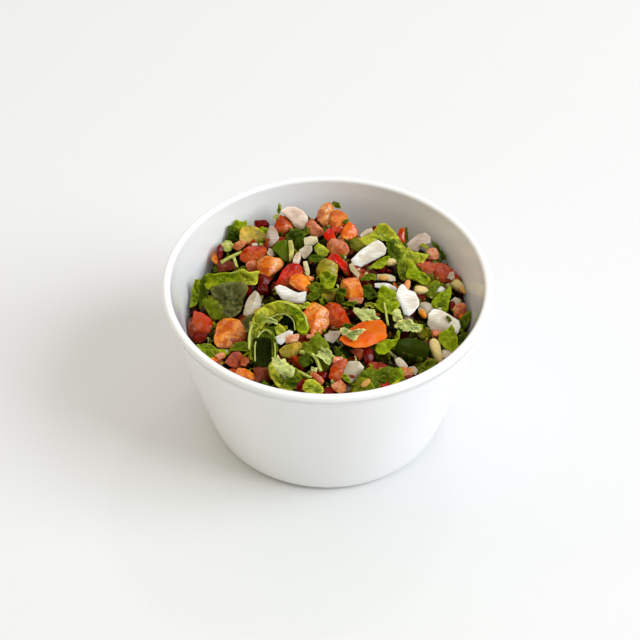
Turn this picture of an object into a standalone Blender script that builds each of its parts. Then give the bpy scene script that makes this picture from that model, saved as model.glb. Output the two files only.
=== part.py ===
"""A white bowl of pico de gallo, in metres, +Z up, standing on z = 0 with +Z through its middle.

The bowl is one turned, glazed dish. The salsa is one heap: a core that fills the bowl and, fused
to it, the chopped tomato, onion, pepper, leaves, stems and seeds that show on top. Each piece that
shows is placed by the spot where it lies in a 640 px picture of the dish: the line of sight through
that spot is followed down to the heap, so a piece always sits on what carries it.
"""

import math
import random
from dataclasses import dataclass

import bmesh
import bpy
from mathutils import Matrix, Vector

MM = 0.001

# ---- The bowl ----
BOWL_HEIGHT = 60.0 * MM
RIM_RADIUS = 55.0 * MM
BASE_RADIUS = 41.6 * MM  # where the flare of the wall would meet the table
WALL = 3.0 * MM
WALL_BULGE = 0.08  # share of the flare that is curved, the rest is straight
BAND_HEIGHT = 1.8 * MM  # the rim stands a little proud of the wall
BAND_STEP = 0.15 * MM
OUTER_CORNER = 3.0 * MM
INNER_CORNER = 10.0 * MM
FLOOR = 4.5 * MM
FOOT_WIDTH = 3.5 * MM
FOOT_RECESS = 0.8 * MM
BOWL_SEGMENTS = 64

# ---- The heap ----
GAP = 0.35 * MM  # clear of the bowl all round
UNDER_RIM = 0.5 * MM  # nothing in the heap stands higher than this below the rim
MOST_PUSH = 2.5 * MM  # a piece that reaches further past the wall is trimmed as well
FILL_RADIUS = 49.0 * MM  # where the top of the heap meets the wall
CROWN = 54.0 * MM  # height of the top at the middle
TILT_RIGHT = 1.6 * MM
TILT_BACK = 4.9 * MM
FALL_SIDES = 11.5 * MM
FALL_FRONT = 3.5 * MM
TWIST = 2.0 * MM
CORE_DEPTH = 2.8 * MM  # how far the core lies under the pieces' own level
CORE_BUMP = 0.5 * MM
CORE_BUMP_PITCH = 9.0 * MM
CORE_SEGMENTS = 32
CORE_TOP_RINGS = (1.0, 0.84, 0.67, 0.5, 0.34, 0.17)

# ---- The picture that the spots are read in ----
PICTURE_SIDE = 640
FOCAL_PX = 1465.0
EYE_DISTANCE = 500.0 * MM
EYE_SLOPE = math.radians(43.9)
EYE_AIM = Vector((-2.46 * MM, 0.0, 40.45 * MM))

# ---- The pieces ----
SEED = 11
LEAF_THICKNESS = 0.6 * MM
LEAF_SINK = 0.6 * MM
LEAF_EXTRA = 1.2  # over its visible size, for the ends that are down in the core
LEAF_HOLD = 0.7  # the share of its droop by which a leaf surely reaches the core
BROAD_LEAF = 9.0 * MM  # longer leaves get more points round their rim
FILLER_MARGIN = 3.5 * MM  # between the outermost ones and the wall
FILLER_PITCH = 7.5 * MM
FILLER_CLEAR = 5.2 * MM


@dataclass(frozen=True)
class Bit:
    """One chopped piece: its middle's spot in the picture, its size and how it lies."""

    spot: tuple  # pixels from the picture's upper left corner
    size: tuple  # length, breadth and thickness in millimetres
    turn: float = 0.0  # slope of its long side in the picture, degrees
    lean: float = 0.4  # 0 lies on the heap, 1 faces the eye
    lift: float = 0.0  # millimetres above the heap's level


TOMATO = (
    Bit((213, 254), (6.0, 4.6, 4.6), 80),
    Bit((251, 253), (9.0, 5.6, 4.8), 5, 0.5, 0.6),
    Bit((270, 264), (8.2, 7.4, 7.0), 12, 0.4, 1.0),
    Bit((265, 288), (5.0, 7.0, 5.0), 0, 0.4, -1.6),
    Bit((283, 226), (7.0, 6.0, 6.0), 75, 0.4, 0.5),
    Bit((314, 229), (7.2, 6.0, 4.2), -30, 0.6, 0.6),
    Bit((326, 218), (9.6, 7.4, 7.0), 72, 0.4, 0.8),
    Bit((341, 220), (7.6, 6.0, 6.0), 60, 0.4, 0.6),
    Bit((350, 231), (6.6, 6.0, 5.6), 40, 0.4, 0.4),
    Bit((330, 236), (4.4, 3.8, 3.6), 60, 0.6, 1.4),
    Bit((338, 247), (8.0, 6.6, 6.0), -20, 0.5, 0.2),
    Bit((336, 259), (8.6, 4.0, 3.0), -50, 0.7, 0.6),
    Bit((354, 286), (8.6, 8.2, 7.4), 4, 0.5, 1.0),
    Bit((291, 274), (9.2, 6.2, 4.2), 40, 0.7, 1.2),
    Bit((303, 284), (8.0, 6.0, 5.0), -40, 0.5, 0.2),
    Bit((316, 316), (10.6, 8.0, 7.4), 100, 0.6, 1.6),
    Bit((336, 316), (9.4, 8.4, 7.0), -30, 0.4, 0.4),
    Bit((204, 325), (8.8, 7.0, 6.0), -60, 0.6, 0.8),
    Bit((230, 331), (10.6, 10.0, 8.0), 20, 0.5, 1.6),
    Bit((235, 360), (6.6, 5.8, 5.6), 5, 0.4, 0.4),
    Bit((245, 375), (8.2, 5.0, 5.0), -15, 0.5, 0.8),
    Bit((261, 375), (7.0, 7.0, 6.0), 10, 0.4, -0.6),
    Bit((301, 385), (7.0, 5.0, 4.4), 10, 0.4, -0.6),
    Bit((338, 370), (9.4, 5.6, 4.6), 58, 0.6, 1.0),
    Bit((340, 386), (5.0, 4.6, 4.2), 15),
    Bit((370, 356), (7.4, 7.0, 6.0), 70, 0.4, -0.8),
    Bit((402, 236), (6.2, 3.8, 3.2), 80, 0.6, 0.6),
    Bit((432, 254), (4.8, 5.0, 4.2), 60),
    Bit((426, 267), (7.2, 6.2, 5.2), -20, 0.4, -0.2),
    Bit((448, 274), (12.0, 9.6, 8.0), -22, 0.4, 0.8),
    Bit((460, 310), (5.0, 5.0, 4.6), 40, 0.4, 0.2),
)
TOMATO_SKIN = (Bit((365, 335), (15.0, 8.0, 1.6), 8, 0.75, 1.4),)
ONION = (
    Bit((297, 218), (7.2, 6.6, 3.0), 20, 0.7, 0.8),
    Bit((272, 236), (8.4, 4.2, 2.8), -78, 0.7, 1.0),
    Bit((312, 243), (5.6, 4.8, 2.6), 30, 0.7, 1.2),
    Bit((292, 293), (11.6, 5.0, 3.0), -8, 0.6, 2.0),
    Bit((255, 305), (9.2, 4.6, 3.2), -85, 0.6, 1.0),
    Bit((285, 337), (8.4, 4.8, 2.8), 5, 0.6, 1.4),
    Bit((331, 336), (8.4, 3.6, 2.4), 15, 0.4, -0.2),
    Bit((368, 254), (12.6, 5.8, 3.0), 35, 0.7, 2.0),
    Bit((419, 241), (8.8, 5.6, 2.8), 35, 0.8, 0.6),
    Bit((386, 286), (8.6, 2.6, 2.2), -3, 0.4, 0.8),
    Bit((408, 302), (11.0, 8.0, 3.4), -65, 0.8, 2.0),
    Bit((445, 321), (11.2, 8.6, 3.8), -25, 0.7, 1.8),
    Bit((354, 370), (7.6, 6.6, 3.6), -30, 0.6, 0.6),
    Bit((401, 362), (5.4, 3.8, 2.6), -50, 0.5, 0.4),
)
PEPPER = (
    Bit((253, 236), (9.2, 7.0, 6.0), 5, 0.4, 0.4),
    Bit((281, 249), (7.6, 7.0, 4.4), -80, 0.6, 1.0),
    Bit((355, 242), (5.8, 5.2, 5.0), -60),
    Bit((319, 248), (5.6, 5.2, 4.2), -20, 0.5, 1.0),
    Bit((327, 269), (8.4, 6.6, 5.2), 80, 0.4, 0.2),
    Bit((412, 349), (11.4, 9.2, 9.0), -8, 0.4, 0.4),
    Bit((290, 350), (7.0, 5.2, 3.8), 10, 0.5, 0.4),
)
LEAF = (
    Bit((235, 229), (8.4, 6.8), 85, 0.9, 0.6),
    Bit((294, 236), (7.4, 7.0), 10, 0.5, 0.0),
    Bit((232, 279), (18.0, 8.4), 8, 0.7, 1.6),
    Bit((230, 298), (12.4, 11.0), -10, 0.6, 0.6),
    Bit((196, 291), (9.6, 4.4), 80, 0.9, 0.6),
    Bit((211, 309), (9.6, 5.8), -75, 0.7, 0.8),
    Bit((205, 349), (9.6, 6.0), -25, 0.5, 0.6),
    Bit((241, 345), (9.4, 5.0), 5, 0.5, 0.2),
    Bit((297, 307), (8.4, 4.6), 10, 0.5, 1.0),
    Bit((316, 344), (9.8, 6.8), -10, 0.6, 1.2),
    Bit((284, 372), (15.6, 13.4), -20, 0.7, 1.4),
    Bit((315, 387), (6.2, 5.4), 20, 0.5, 0.6),
    Bit((365, 314), (8.8, 4.8), -10, 0.6, 1.0),
    Bit((385, 299), (12.4, 8.2), 85, 0.6, 1.0),
    Bit((408, 326), (9.4, 5.4), -15, 0.5, 1.0),
    Bit((473, 320), (9.4, 4.6), 45, 0.8, 0.4),
    Bit((449, 340), (8.2, 6.8), 80, 0.6, 1.4),
    Bit((386, 346), (8.2, 5.8), 10, 0.6, 1.2),
    Bit((372, 377), (15.4, 9.2), 15, 0.6, 1.4),
    Bit((397, 376), (6.8, 6.6), 60, 0.6, 1.2),
    Bit((429, 365), (7.4, 6.2), 30, 0.5, 0.4),
    Bit((402, 250), (15.6, 7.6), -30, 0.6, 1.6),
    Bit((385, 238), (10.4, 6.2), -40, 0.6, 1.0),
    Bit((417, 275), (8.6, 7.2), -40, 0.6, 1.6),
    Bit((435, 290), (7.4, 6.8), 40, 0.5, 0.8),
    Bit((443, 300), (7.8, 6.2), 40, 0.6, 1.2),
    Bit((380, 265), (8.8, 5.0), 40, 0.6, 1.2),
    Bit((329, 286), (9.2, 6.0), 80, 0.5, 0.6),
)
CURLED_LEAF = (
    Bit((276, 323), (7.2, 6.4), 0, 0.9, 0.0),
    Bit((265, 349), (3.6, 5.0), 0, 0.9, 0.2),
)
STEM_THICKNESS = 1.4 * MM
STEM = (
    ((221, 263), (231, 257), (242, 252)),
    ((300, 352), (314, 356), (321, 371)),
    ((289, 367), (299, 372), (311, 378)),
)
SEED_BIT = (
    Bit((421, 290), (5.2, 3.8, 2.8), 0, 0.5, 1.8),
    Bit((460, 287), (5.6, 4.2, 3.2), -50, 0.5, 1.0),
    Bit((436, 351), (9.2, 4.4, 3.2), -75, 0.6, 1.2),
)


# ---- Shapes of bowl and heap ----


def flare(z):
    """Radius of the wall's outside at height z, before its lower corner is rounded."""
    part = z / BOWL_HEIGHT
    bowed = 1.0 - (1.0 - part) ** 2
    share = (1.0 - WALL_BULGE) * part + WALL_BULGE * bowed
    return BASE_RADIUS + (RIM_RADIUS - BAND_STEP - BASE_RADIUS) * share


def rounded_in(height, corner):
    """How far a corner of this radius draws the wall in, at a height above its flat side."""
    left = max(0.0, corner - height)
    return corner - math.sqrt(corner * corner - left * left)


def inner_radius(z):
    """Radius of the bowl's hollow at height z."""
    return flare(z) - WALL - rounded_in(z - FLOOR, INNER_CORNER)


def mound(x, y):
    """Height of the heap's own level over a point, to which its pieces are laid."""
    u = x / FILL_RADIUS
    v = y / FILL_RADIUS
    slope = TILT_RIGHT * u + TILT_BACK * v
    return CROWN + slope - FALL_SIDES * u * u - FALL_FRONT * v * v - TWIST * u * v


def mound_normal(x, y):
    """The heap's upward direction over a point."""
    step = 1.0 * MM
    rise_x = (mound(x + step, y) - mound(x - step, y)) / (2.0 * step)
    rise_y = (mound(x, y + step) - mound(x, y - step)) / (2.0 * step)
    return Vector((-rise_x, -rise_y, 1.0)).normalized()


# ---- From a spot in the picture to a place on the heap ----

VIEW = Vector((0.0, math.cos(EYE_SLOPE), -math.sin(EYE_SLOPE)))
PICTURE_RIGHT = Vector((1.0, 0.0, 0.0))
PICTURE_UP = PICTURE_RIGHT.cross(VIEW)
EYE = EYE_AIM - EYE_DISTANCE * VIEW


def sight_point(spot, lift):
    """The point seen at a spot that lies `lift` above the heap's level."""
    half = PICTURE_SIDE / 2.0
    ray = FOCAL_PX * VIEW + (spot[0] - half) * PICTURE_RIGHT - (spot[1] - half) * PICTURE_UP
    near = (EYE.z - 1.4 * BOWL_HEIGHT) / -ray.z
    far = (EYE.z - 0.3 * BOWL_HEIGHT) / -ray.z
    for _ in range(40):
        middle = 0.5 * (near + far)
        point = EYE + middle * ray
        if point.z > mound(point.x, point.y) + lift:
            near = middle
        else:
            far = middle
    return EYE + near * ray


def seat(bit, sink):
    """Placing matrix of a bit: X along it, Z out of it; its middle is `sink` under its level."""
    point = sight_point(bit.spot, bit.lift * MM - sink)
    up = mound_normal(point.x, point.y).lerp(-VIEW, bit.lean).normalized()
    slope = math.radians(bit.turn)
    along = math.cos(slope) * PICTURE_RIGHT + math.sin(slope) * PICTURE_UP
    return laid(point, up, along)


def laid(point, up, along):
    """Matrix that puts a shape at a point, its Z along `up` and its X as near `along` as it goes."""
    along = (along - along.dot(up) * up).normalized()
    across = up.cross(along)
    turned = Matrix((along, across, up)).transposed()
    return Matrix.Translation(point) @ turned.to_4x4()


# ---- Meshes ----


def turned_mesh(bm, rings, closing_heights, segments):
    """A closed turned shape from rings of radius and height, between two points on the axis."""
    circles = []
    for radius, height in rings:
        circle = []
        for step in range(segments):
            angle = math.tau * step / segments
            circle.append(bm.verts.new((radius * math.cos(angle), radius * math.sin(angle), height)))
        circles.append(circle)
    first = bm.verts.new((0.0, 0.0, closing_heights[0]))
    last = bm.verts.new((0.0, 0.0, closing_heights[1]))
    for step in range(segments):
        after = (step + 1) % segments
        bm.faces.new((first, circles[0][after], circles[0][step]))
        bm.faces.new((last, circles[-1][step], circles[-1][after]))
        for low, high in zip(circles, circles[1:]):
            bm.faces.new((low[step], low[after], high[after], high[step]))


def sheet(bm, middle, triangles, thickness):
    """A closed sheet about a middle surface, both its faces split into the same triangles."""
    normals = [Vector() for _ in middle]
    sides = {}
    for triangle in triangles:
        a, b, c = (middle[index] for index in triangle)
        normal = (b - a).cross(c - a)
        for index in triangle:
            normals[index] += normal
        for start, end in zip(triangle, triangle[1:] + triangle[:1]):
            sides[(start, end)] = True
    upper = []
    lower = []
    for point, normal in zip(middle, normals):
        half = 0.5 * thickness * normal.normalized()
        upper.append(bm.verts.new(point + half))
        lower.append(bm.verts.new(point - half))
    for a, b, c in triangles:
        bm.faces.new((upper[a], upper[b], upper[c]))
        bm.faces.new((lower[c], lower[b], lower[a]))
    for start, end in sides:
        if (end, start) not in sides:
            bm.faces.new((upper[start], lower[start], upper[end]))
            bm.faces.new((lower[start], lower[end], upper[end]))


def lump(bm, length, breadth, thickness, rng):
    """A knife-cut dice with soft, uneven corners."""
    half = Vector((0.5 * length, 0.5 * breadth, 0.5 * thickness))
    for x in (-1, 1):
        for y in (-1, 1):
            for z in (-1, 1):
                shrink = rng.uniform(0.76, 0.94)
                bm.verts.new((shrink * x * half.x, shrink * y * half.y, shrink * z * half.z))
    for axis in range(3):
        point = Vector([rng.uniform(-0.3, 0.3) * extent for extent in half])
        point[axis] = (1 if axis == 2 else rng.choice((-1, 1))) * half[axis]
        bm.verts.new(point)
    made = bmesh.ops.convex_hull(bm, input=bm.verts[:])
    spare = {item for item in made["geom_interior"] + made["geom_unused"] if item in set(bm.verts)}
    bmesh.ops.delete(bm, geom=list(spare), context="VERTS")


def slab(bm, length, breadth, thickness, rng):
    """A cut of onion or a sheet of skin: a bent plate, narrower at one end."""
    bow = rng.uniform(0.12, 0.22) * length
    taper = rng.uniform(0.6, 0.9)
    middle = []
    for u, width in ((-1.0, breadth), (-0.1, breadth), (1.0, taper * breadth)):
        for v in (-0.5, 0.5):
            middle.append(Vector((0.5 * length * u, width * v, -bow * u * u)))
    triangles = [(0, 2, 3), (0, 3, 1), (2, 4, 5), (2, 5, 3)]
    sheet(bm, middle, triangles, thickness)


def leaf_reach(angle, phase):
    """A leaf's outline, as a share of its half length: broad lobes with shallow notches."""
    return 0.86 + 0.08 * math.cos(3.0 * angle + phase) + 0.06 * math.cos(7.0 * angle - phase)


def leaf(bm, length, breadth, lift, rng):
    """A thin wavy leaf, folded along its middle, whose two ends hang down into the core."""
    broad = length > BROAD_LEAF
    points = 12 if broad else 8
    phase = rng.uniform(0.0, math.tau)
    fold = rng.uniform(0.1, 0.3)
    to_core = CORE_DEPTH + CORE_BUMP - LEAF_SINK + lift
    droop = max(rng.uniform(0.26, 0.34) * min(length, 12.0 * MM), to_core / LEAF_HOLD)

    def at(angle, share):
        reach = share * leaf_reach(angle, phase)
        u = reach * math.cos(angle)
        v = reach * math.sin(angle)
        wave = 0.05 * length * share * math.sin(3.0 * angle + phase)
        height = wave - droop * (u * u + 0.2 * v * v) + fold * breadth * abs(v)
        return Vector((0.5 * LEAF_EXTRA * length * u, 0.5 * LEAF_EXTRA * breadth * v, height))

    rim = [at(math.tau * step / points, 1.0) for step in range(points)]
    if not broad:
        fan = [(0, 1 + step, 1 + (step + 1) % points) for step in range(points)]
        sheet(bm, [at(0.0, 0.0)] + rim, fan, LEAF_THICKNESS)
        return
    half = points // 2
    middle = [at(0.0, 0.0)] + [at(math.tau * step / half, 0.55) for step in range(half)] + rim
    triangles = []
    for step in range(half):
        inner = 1 + step
        inner_next = 1 + (step + 1) % half
        outer = 1 + half + 2 * step
        outer_mid = outer + 1
        outer_next = 1 + half + (2 * step + 2) % points
        triangles += [(0, inner, inner_next), (inner, outer, outer_mid)]
        triangles += [(inner, outer_mid, inner_next), (inner_next, outer_mid, outer_next)]
    sheet(bm, middle, triangles, LEAF_THICKNESS)


def curl(bm, radius, depth, thickness):
    """A leaf rolled into an arch that is open towards the eye, both ends down in the heap."""
    steps = 9
    span = math.radians(230.0)
    middle = []
    for step in range(steps + 1):
        angle = 0.5 * (math.pi - span) + span * step / steps
        for side in (-1, 1):
            reach = radius * (1.0 + 0.06 * side)
            middle.append(Vector((reach * math.cos(angle), reach * math.sin(angle), 0.5 * depth * side)))
    triangles = []
    for step in range(steps):
        a = 2 * step
        triangles += [(a, a + 1, a + 3), (a, a + 3, a + 2)]
    sheet(bm, middle, triangles, thickness)


def stem(bm, route, thickness):
    """A five-sided stalk along a route of points."""
    sides = 5
    circles = []
    for index, point in enumerate(route):
        ahead = route[min(index + 1, len(route) - 1)] - route[max(index - 1, 0)]
        across = ahead.cross(Vector((0.0, 0.0, 1.0))).normalized()
        up = across.cross(ahead).normalized()
        circle = []
        for step in range(sides):
            angle = math.tau * step / sides
            offset = math.cos(angle) * across + math.sin(angle) * up
            circle.append(bm.verts.new(point + 0.5 * thickness * offset))
        circles.append(circle)
    for near, far in zip(circles, circles[1:]):
        for step in range(sides):
            after = (step + 1) % sides
            bm.faces.new((near[step], near[after], far[after], far[step]))
    bm.faces.new(circles[0][::-1])
    bm.faces.new(circles[-1])


def keep_inside(bm):
    """Moves a piece in from the wall, and trims what still reaches past it."""
    over = 0.0
    push = Vector()
    for vert in bm.verts:
        flat = Vector((vert.co.x, vert.co.y, 0.0))
        excess = flat.length - (inner_radius(min(vert.co.z, BOWL_HEIGHT)) - GAP)
        if excess > over:
            over = excess
            push = -flat.normalized()
    bmesh.ops.translate(bm, verts=bm.verts[:], vec=min(over, MOST_PUSH) * push)
    for vert in bm.verts:
        flat = math.hypot(vert.co.x, vert.co.y)
        limit = inner_radius(min(vert.co.z, BOWL_HEIGHT)) - GAP
        if flat > limit:
            vert.co.x *= limit / flat
            vert.co.y *= limit / flat
        vert.co.z = min(vert.co.z, BOWL_HEIGHT - UNDER_RIM)


# ---- Objects ----


def make_material(name, colour, roughness):
    """A Principled material with one colour."""
    material = bpy.data.materials.new(name)
    material.use_nodes = True
    shader = material.node_tree.nodes["Principled BSDF"]
    shader.inputs["Base Color"].default_value = (*colour, 1.0)
    shader.inputs["Roughness"].default_value = roughness
    shader.inputs["Metallic"].default_value = 0.0
    return material


def make_object(name, bm, material, collection):
    """An object of a bmesh's shape, with its faces pointing out."""
    bmesh.ops.recalc_face_normals(bm, faces=bm.faces[:])
    mesh = bpy.data.meshes.new(name)
    bm.to_mesh(mesh)
    bm.free()
    mesh.materials.append(material)
    made = bpy.data.objects.new(name, mesh)
    collection.objects.link(made)
    return made


def bowl_rings():
    """Radius and height of each ring of the bowl, from inside its foot round to its floor."""
    corner = [math.radians(angle) for angle in (90.0, 60.0, 30.0, 0.0)]
    foot = flare(0.0) - OUTER_CORNER
    rings = [(foot - FOOT_WIDTH - FOOT_RECESS, FOOT_RECESS), (foot - FOOT_WIDTH, 0.0)]
    for angle in corner:
        height = OUTER_CORNER * (1.0 - math.sin(angle))
        rings.append((flare(height) - rounded_in(height, OUTER_CORNER), height))
    band = BOWL_HEIGHT - BAND_HEIGHT
    for share in (0.35, 0.68, 1.0):
        height = OUTER_CORNER + share * (band - BAND_STEP - OUTER_CORNER)
        rings.append((flare(height), height))
    rings.append((RIM_RADIUS, band))
    lip = 0.5 * WALL
    for angle in (0.0, 45.0, 90.0, 135.0, 180.0):
        turn = math.radians(angle)
        across = RIM_RADIUS - lip + lip * math.cos(turn)
        rings.append((across, BOWL_HEIGHT - lip + lip * math.sin(turn)))
    for share in (0.72, 0.4, 0.0):
        height = FLOOR + INNER_CORNER + share * (BOWL_HEIGHT - lip - FLOOR - INNER_CORNER)
        rings.append((inner_radius(height), height))
    for angle in (22.5, 45.0, 67.5, 90.0):
        height = FLOOR + INNER_CORNER * (1.0 - math.sin(math.radians(angle)))
        rings.append((inner_radius(height), height))
    return rings


def make_bowl(collection):
    """The dish: a turned wall, rounded at rim and corners, on a shallow foot."""
    bm = bmesh.new()
    turned_mesh(bm, bowl_rings(), (FOOT_RECESS, FLOOR), BOWL_SEGMENTS)
    glaze = make_material("white_glaze", (0.86, 0.86, 0.85), 0.12)
    bowl = make_object("bowl", bm, glaze, collection)
    bowl.data.shade_smooth()
    bowl.data.set_sharp_from_angle(angle=math.radians(50.0))
    return bowl


def core_bump(x, y):
    """Gentle bumps of the core, the size of the pieces that press into it."""
    wave = math.tau / CORE_BUMP_PITCH
    return CORE_BUMP * math.sin(wave * (x + 0.4 * y)) * math.cos(wave * (y - 0.3 * x))


def core_edge(angle):
    """Radius and height at which the core's top meets the wall."""
    height = CROWN
    radius = 0.0
    for _ in range(8):
        radius = inner_radius(height) - GAP
        height = mound(radius * math.cos(angle), radius * math.sin(angle)) - CORE_DEPTH
    return radius, height


def make_core(material, collection):
    """The heap's core: it fills the bowl to a little under the pieces on top."""
    bm = bmesh.new()
    columns = []
    for step in range(CORE_SEGMENTS):
        angle = math.tau * step / CORE_SEGMENTS
        edge_radius, edge_height = core_edge(angle)
        profile = []
        for degrees in (90.0, 60.0, 30.0):
            height = FLOOR + INNER_CORNER * (1.0 - math.sin(math.radians(degrees)))
            profile.append((inner_radius(height) - GAP, height + GAP))
        for share in (0.15, 0.55):
            height = FLOOR + INNER_CORNER + share * (edge_height - FLOOR - INNER_CORNER)
            profile.append((inner_radius(height) - GAP, height))
        for share in CORE_TOP_RINGS:
            radius = share * edge_radius
            x = radius * math.cos(angle)
            y = radius * math.sin(angle)
            height = mound(x, y) - CORE_DEPTH + (core_bump(x, y) if share < 1.0 else 0.0)
            profile.append((radius, height))
        column = [bm.verts.new((r * math.cos(angle), r * math.sin(angle), z)) for r, z in profile]
        columns.append(column)
    bottom = bm.verts.new((0.0, 0.0, FLOOR + GAP))
    top = bm.verts.new((0.0, 0.0, CROWN - CORE_DEPTH))
    for column, after in zip(columns, columns[1:] + columns[:1]):
        bm.faces.new((bottom, after[0], column[0]))
        bm.faces.new((top, column[-1], after[-1]))
        for level in range(len(column) - 1):
            bm.faces.new((column[level], after[level], after[level + 1], column[level + 1]))
    bmesh.ops.triangulate(bm, faces=bm.faces[:])
    return make_object("pico_heap", bm, material, collection)


def add_piece(shape, placing, material, collection):
    """One piece of the heap from a function that makes its shape, placed and kept off the wall."""
    bm = bmesh.new()
    shape(bm)
    bm.transform(placing)
    keep_inside(bm)
    bmesh.ops.triangulate(bm, faces=bm.faces[:])
    make_object("piece", bm, material, collection)


def add_bits(bits, form, sink_share, material, collection, rng):
    """The solid pieces of one kind, each sunk by a share of its thickness."""
    for bit in bits:
        length, breadth, thickness = (side * MM for side in bit.size)
        placing = seat(bit, sink_share * thickness)
        add_piece(lambda bm: form(bm, length, breadth, thickness, rng), placing, material, collection)


def add_leaves(collection, green, rng):
    """Flat leaves, curled leaves and stems."""
    for bit in LEAF:
        length, breadth = (side * MM for side in bit.size)
        placing = seat(bit, LEAF_SINK)
        add_piece(lambda bm: leaf(bm, length, breadth, bit.lift * MM, rng), placing, green, collection)
    for bit in CURLED_LEAF:
        radius, depth = (side * MM for side in bit.size)
        placing = seat(bit, 0.0)
        add_piece(lambda bm: curl(bm, radius, depth, LEAF_THICKNESS), placing, green, collection)
    for spots in STEM:
        route = [sight_point(spot, 0.3 * MM) for spot in spots]
        add_piece(lambda bm: stem(bm, route, STEM_THICKNESS), Matrix(), green, collection)


def filler_points(taken, rng):
    """Places on the heap, about evenly spread, that no named piece covers."""
    points = []
    outermost = FILL_RADIUS - FILLER_MARGIN
    rings = round(outermost / FILLER_PITCH)
    for ring in range(rings + 1):
        radius = outermost * ring / rings
        count = max(1, round(math.tau * radius / FILLER_PITCH))
        for step in range(count):
            angle = math.tau * (step + rng.uniform(-0.25, 0.25)) / count + ring
            x = (radius + rng.uniform(-1.2, 1.2) * MM) * math.cos(angle)
            y = radius * math.sin(angle)
            if all(math.hypot(x - other.x, y - other.y) > FILLER_CLEAR for other in taken):
                points.append((x, y))
    return points


def add_fillers(palette, collection, rng):
    """Pieces of no special place, where the named ones leave the core bare."""
    named = TOMATO + ONION + PEPPER + LEAF
    taken = [sight_point(bit.spot, 0.0) for bit in named]
    for x, y in filler_points(taken, rng):
        up = mound_normal(x, y)
        angle = rng.uniform(0.0, math.tau)
        along = Vector((math.cos(angle), math.sin(angle), rng.uniform(-0.4, 0.4)))
        length = rng.uniform(5.5, 9.0) * MM
        breadth = rng.uniform(0.6, 0.9) * length
        choice = rng.choice(("tomato", "leaf", "tomato", "onion", "tomato", "leaf"))
        form, depth, sink = {
            "tomato": (lump, 0.65 * length, 0.2 * length),
            "onion": (slab, 2.8 * MM, 0.8 * MM),
            "leaf": (leaf, 0.0, LEAF_SINK),
        }[choice]
        height = mound(x, y) - sink
        placing = laid(Vector((x, y, height)), up, along)
        shape = form
        add_piece(
            lambda bm: shape(bm, length, breadth, depth, rng), placing, palette[choice], collection
        )


def fuse(core, pieces):
    """One Boolean union of the core with every piece, applied; the pieces are then removed."""
    union = core.modifiers.new("fuse", "BOOLEAN")
    union.operation = "UNION"
    union.solver = "MANIFOLD"
    union.operand_type = "COLLECTION"
    union.collection = pieces
    union.material_mode = "TRANSFER"
    fused = bpy.data.meshes.new_from_object(core.evaluated_get(bpy.context.evaluated_depsgraph_get()))
    core.modifiers.clear()
    core.data = fused
    for piece in list(pieces.objects):
        bpy.data.objects.remove(piece)
    bpy.data.collections.remove(pieces)


def keep_one_body(core):
    """Fills sealed hollows and drops loose scraps: only the outermost skin stays."""
    bm = bmesh.new()
    bm.from_mesh(core.data)
    unseen = set(bm.faces)
    bodies = []
    while unseen:
        body = {unseen.pop()}
        edge_on = list(body)
        while edge_on:
            for edge in edge_on.pop().edges:
                for face in edge.link_faces:
                    if face in unseen:
                        unseen.remove(face)
                        body.add(face)
                        edge_on.append(face)
        bodies.append(body)
    bodies.sort(key=len)
    spare = [face for body in bodies[:-1] for face in body]
    bmesh.ops.delete(bm, geom=spare, context="FACES")
    bmesh.ops.triangulate(bm, faces=bm.faces[:])
    bm.to_mesh(core.data)
    bm.free()


def make_heap(collection):
    """The salsa: the core and all its pieces as one closed solid."""
    palette = {
        "tomato": make_material("tomato", (0.62, 0.10, 0.03), 0.3),
        "onion": make_material("onion", (0.78, 0.75, 0.68), 0.3),
        "pepper": make_material("pepper", (0.12, 0.22, 0.03), 0.3),
        "leaf": make_material("leaf", (0.10, 0.24, 0.02), 0.4),
        "seed": make_material("seed", (0.70, 0.52, 0.22), 0.4),
    }
    soaked = make_material("soaked_core", (0.22, 0.10, 0.02), 0.3)
    rng = random.Random(SEED)
    pieces = bpy.data.collections.new("pieces")
    bpy.context.scene.collection.children.link(pieces)
    core = make_core(soaked, collection)
    add_bits(TOMATO, lump, 0.3, palette["tomato"], pieces, rng)
    add_bits(ONION, slab, 0.0, palette["onion"], pieces, rng)
    add_bits(PEPPER, lump, 0.3, palette["pepper"], pieces, rng)
    add_bits(SEED_BIT, lump, 0.3, palette["seed"], pieces, rng)
    add_leaves(pieces, palette["leaf"], rng)
    add_fillers(palette, pieces, rng)
    add_bits(TOMATO_SKIN, slab, 0.0, palette["tomato"], pieces, rng)
    fuse(core, pieces)
    keep_one_body(core)
    return core


def main():
    """Clears the file and builds the dish."""
    for old in list(bpy.data.objects):
        bpy.data.objects.remove(old)
    collection = bpy.context.scene.collection
    make_bowl(collection)
    make_heap(collection)


main()
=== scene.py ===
"""Looks of a bowl of pico de gallo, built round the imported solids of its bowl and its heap.

The bowl is turned finely and glazed. The heap's solid is replaced by the real things: a soaked
core and, on it, tomato cuts, onion, green pepper, torn herb leaves, stems and seeds, each kind
joined into one mesh. A piece is placed by the spot where it lies in the 640 px picture: the line of
sight through that spot is followed down to the heap, so every piece rests on what carries it.
Lengths are metres, +Z is up, and the camera looks along +Y.
"""

import logging
import math
import random
from dataclasses import dataclass, field
from enum import Enum
from functools import cache, cached_property
from typing import Iterator

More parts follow.
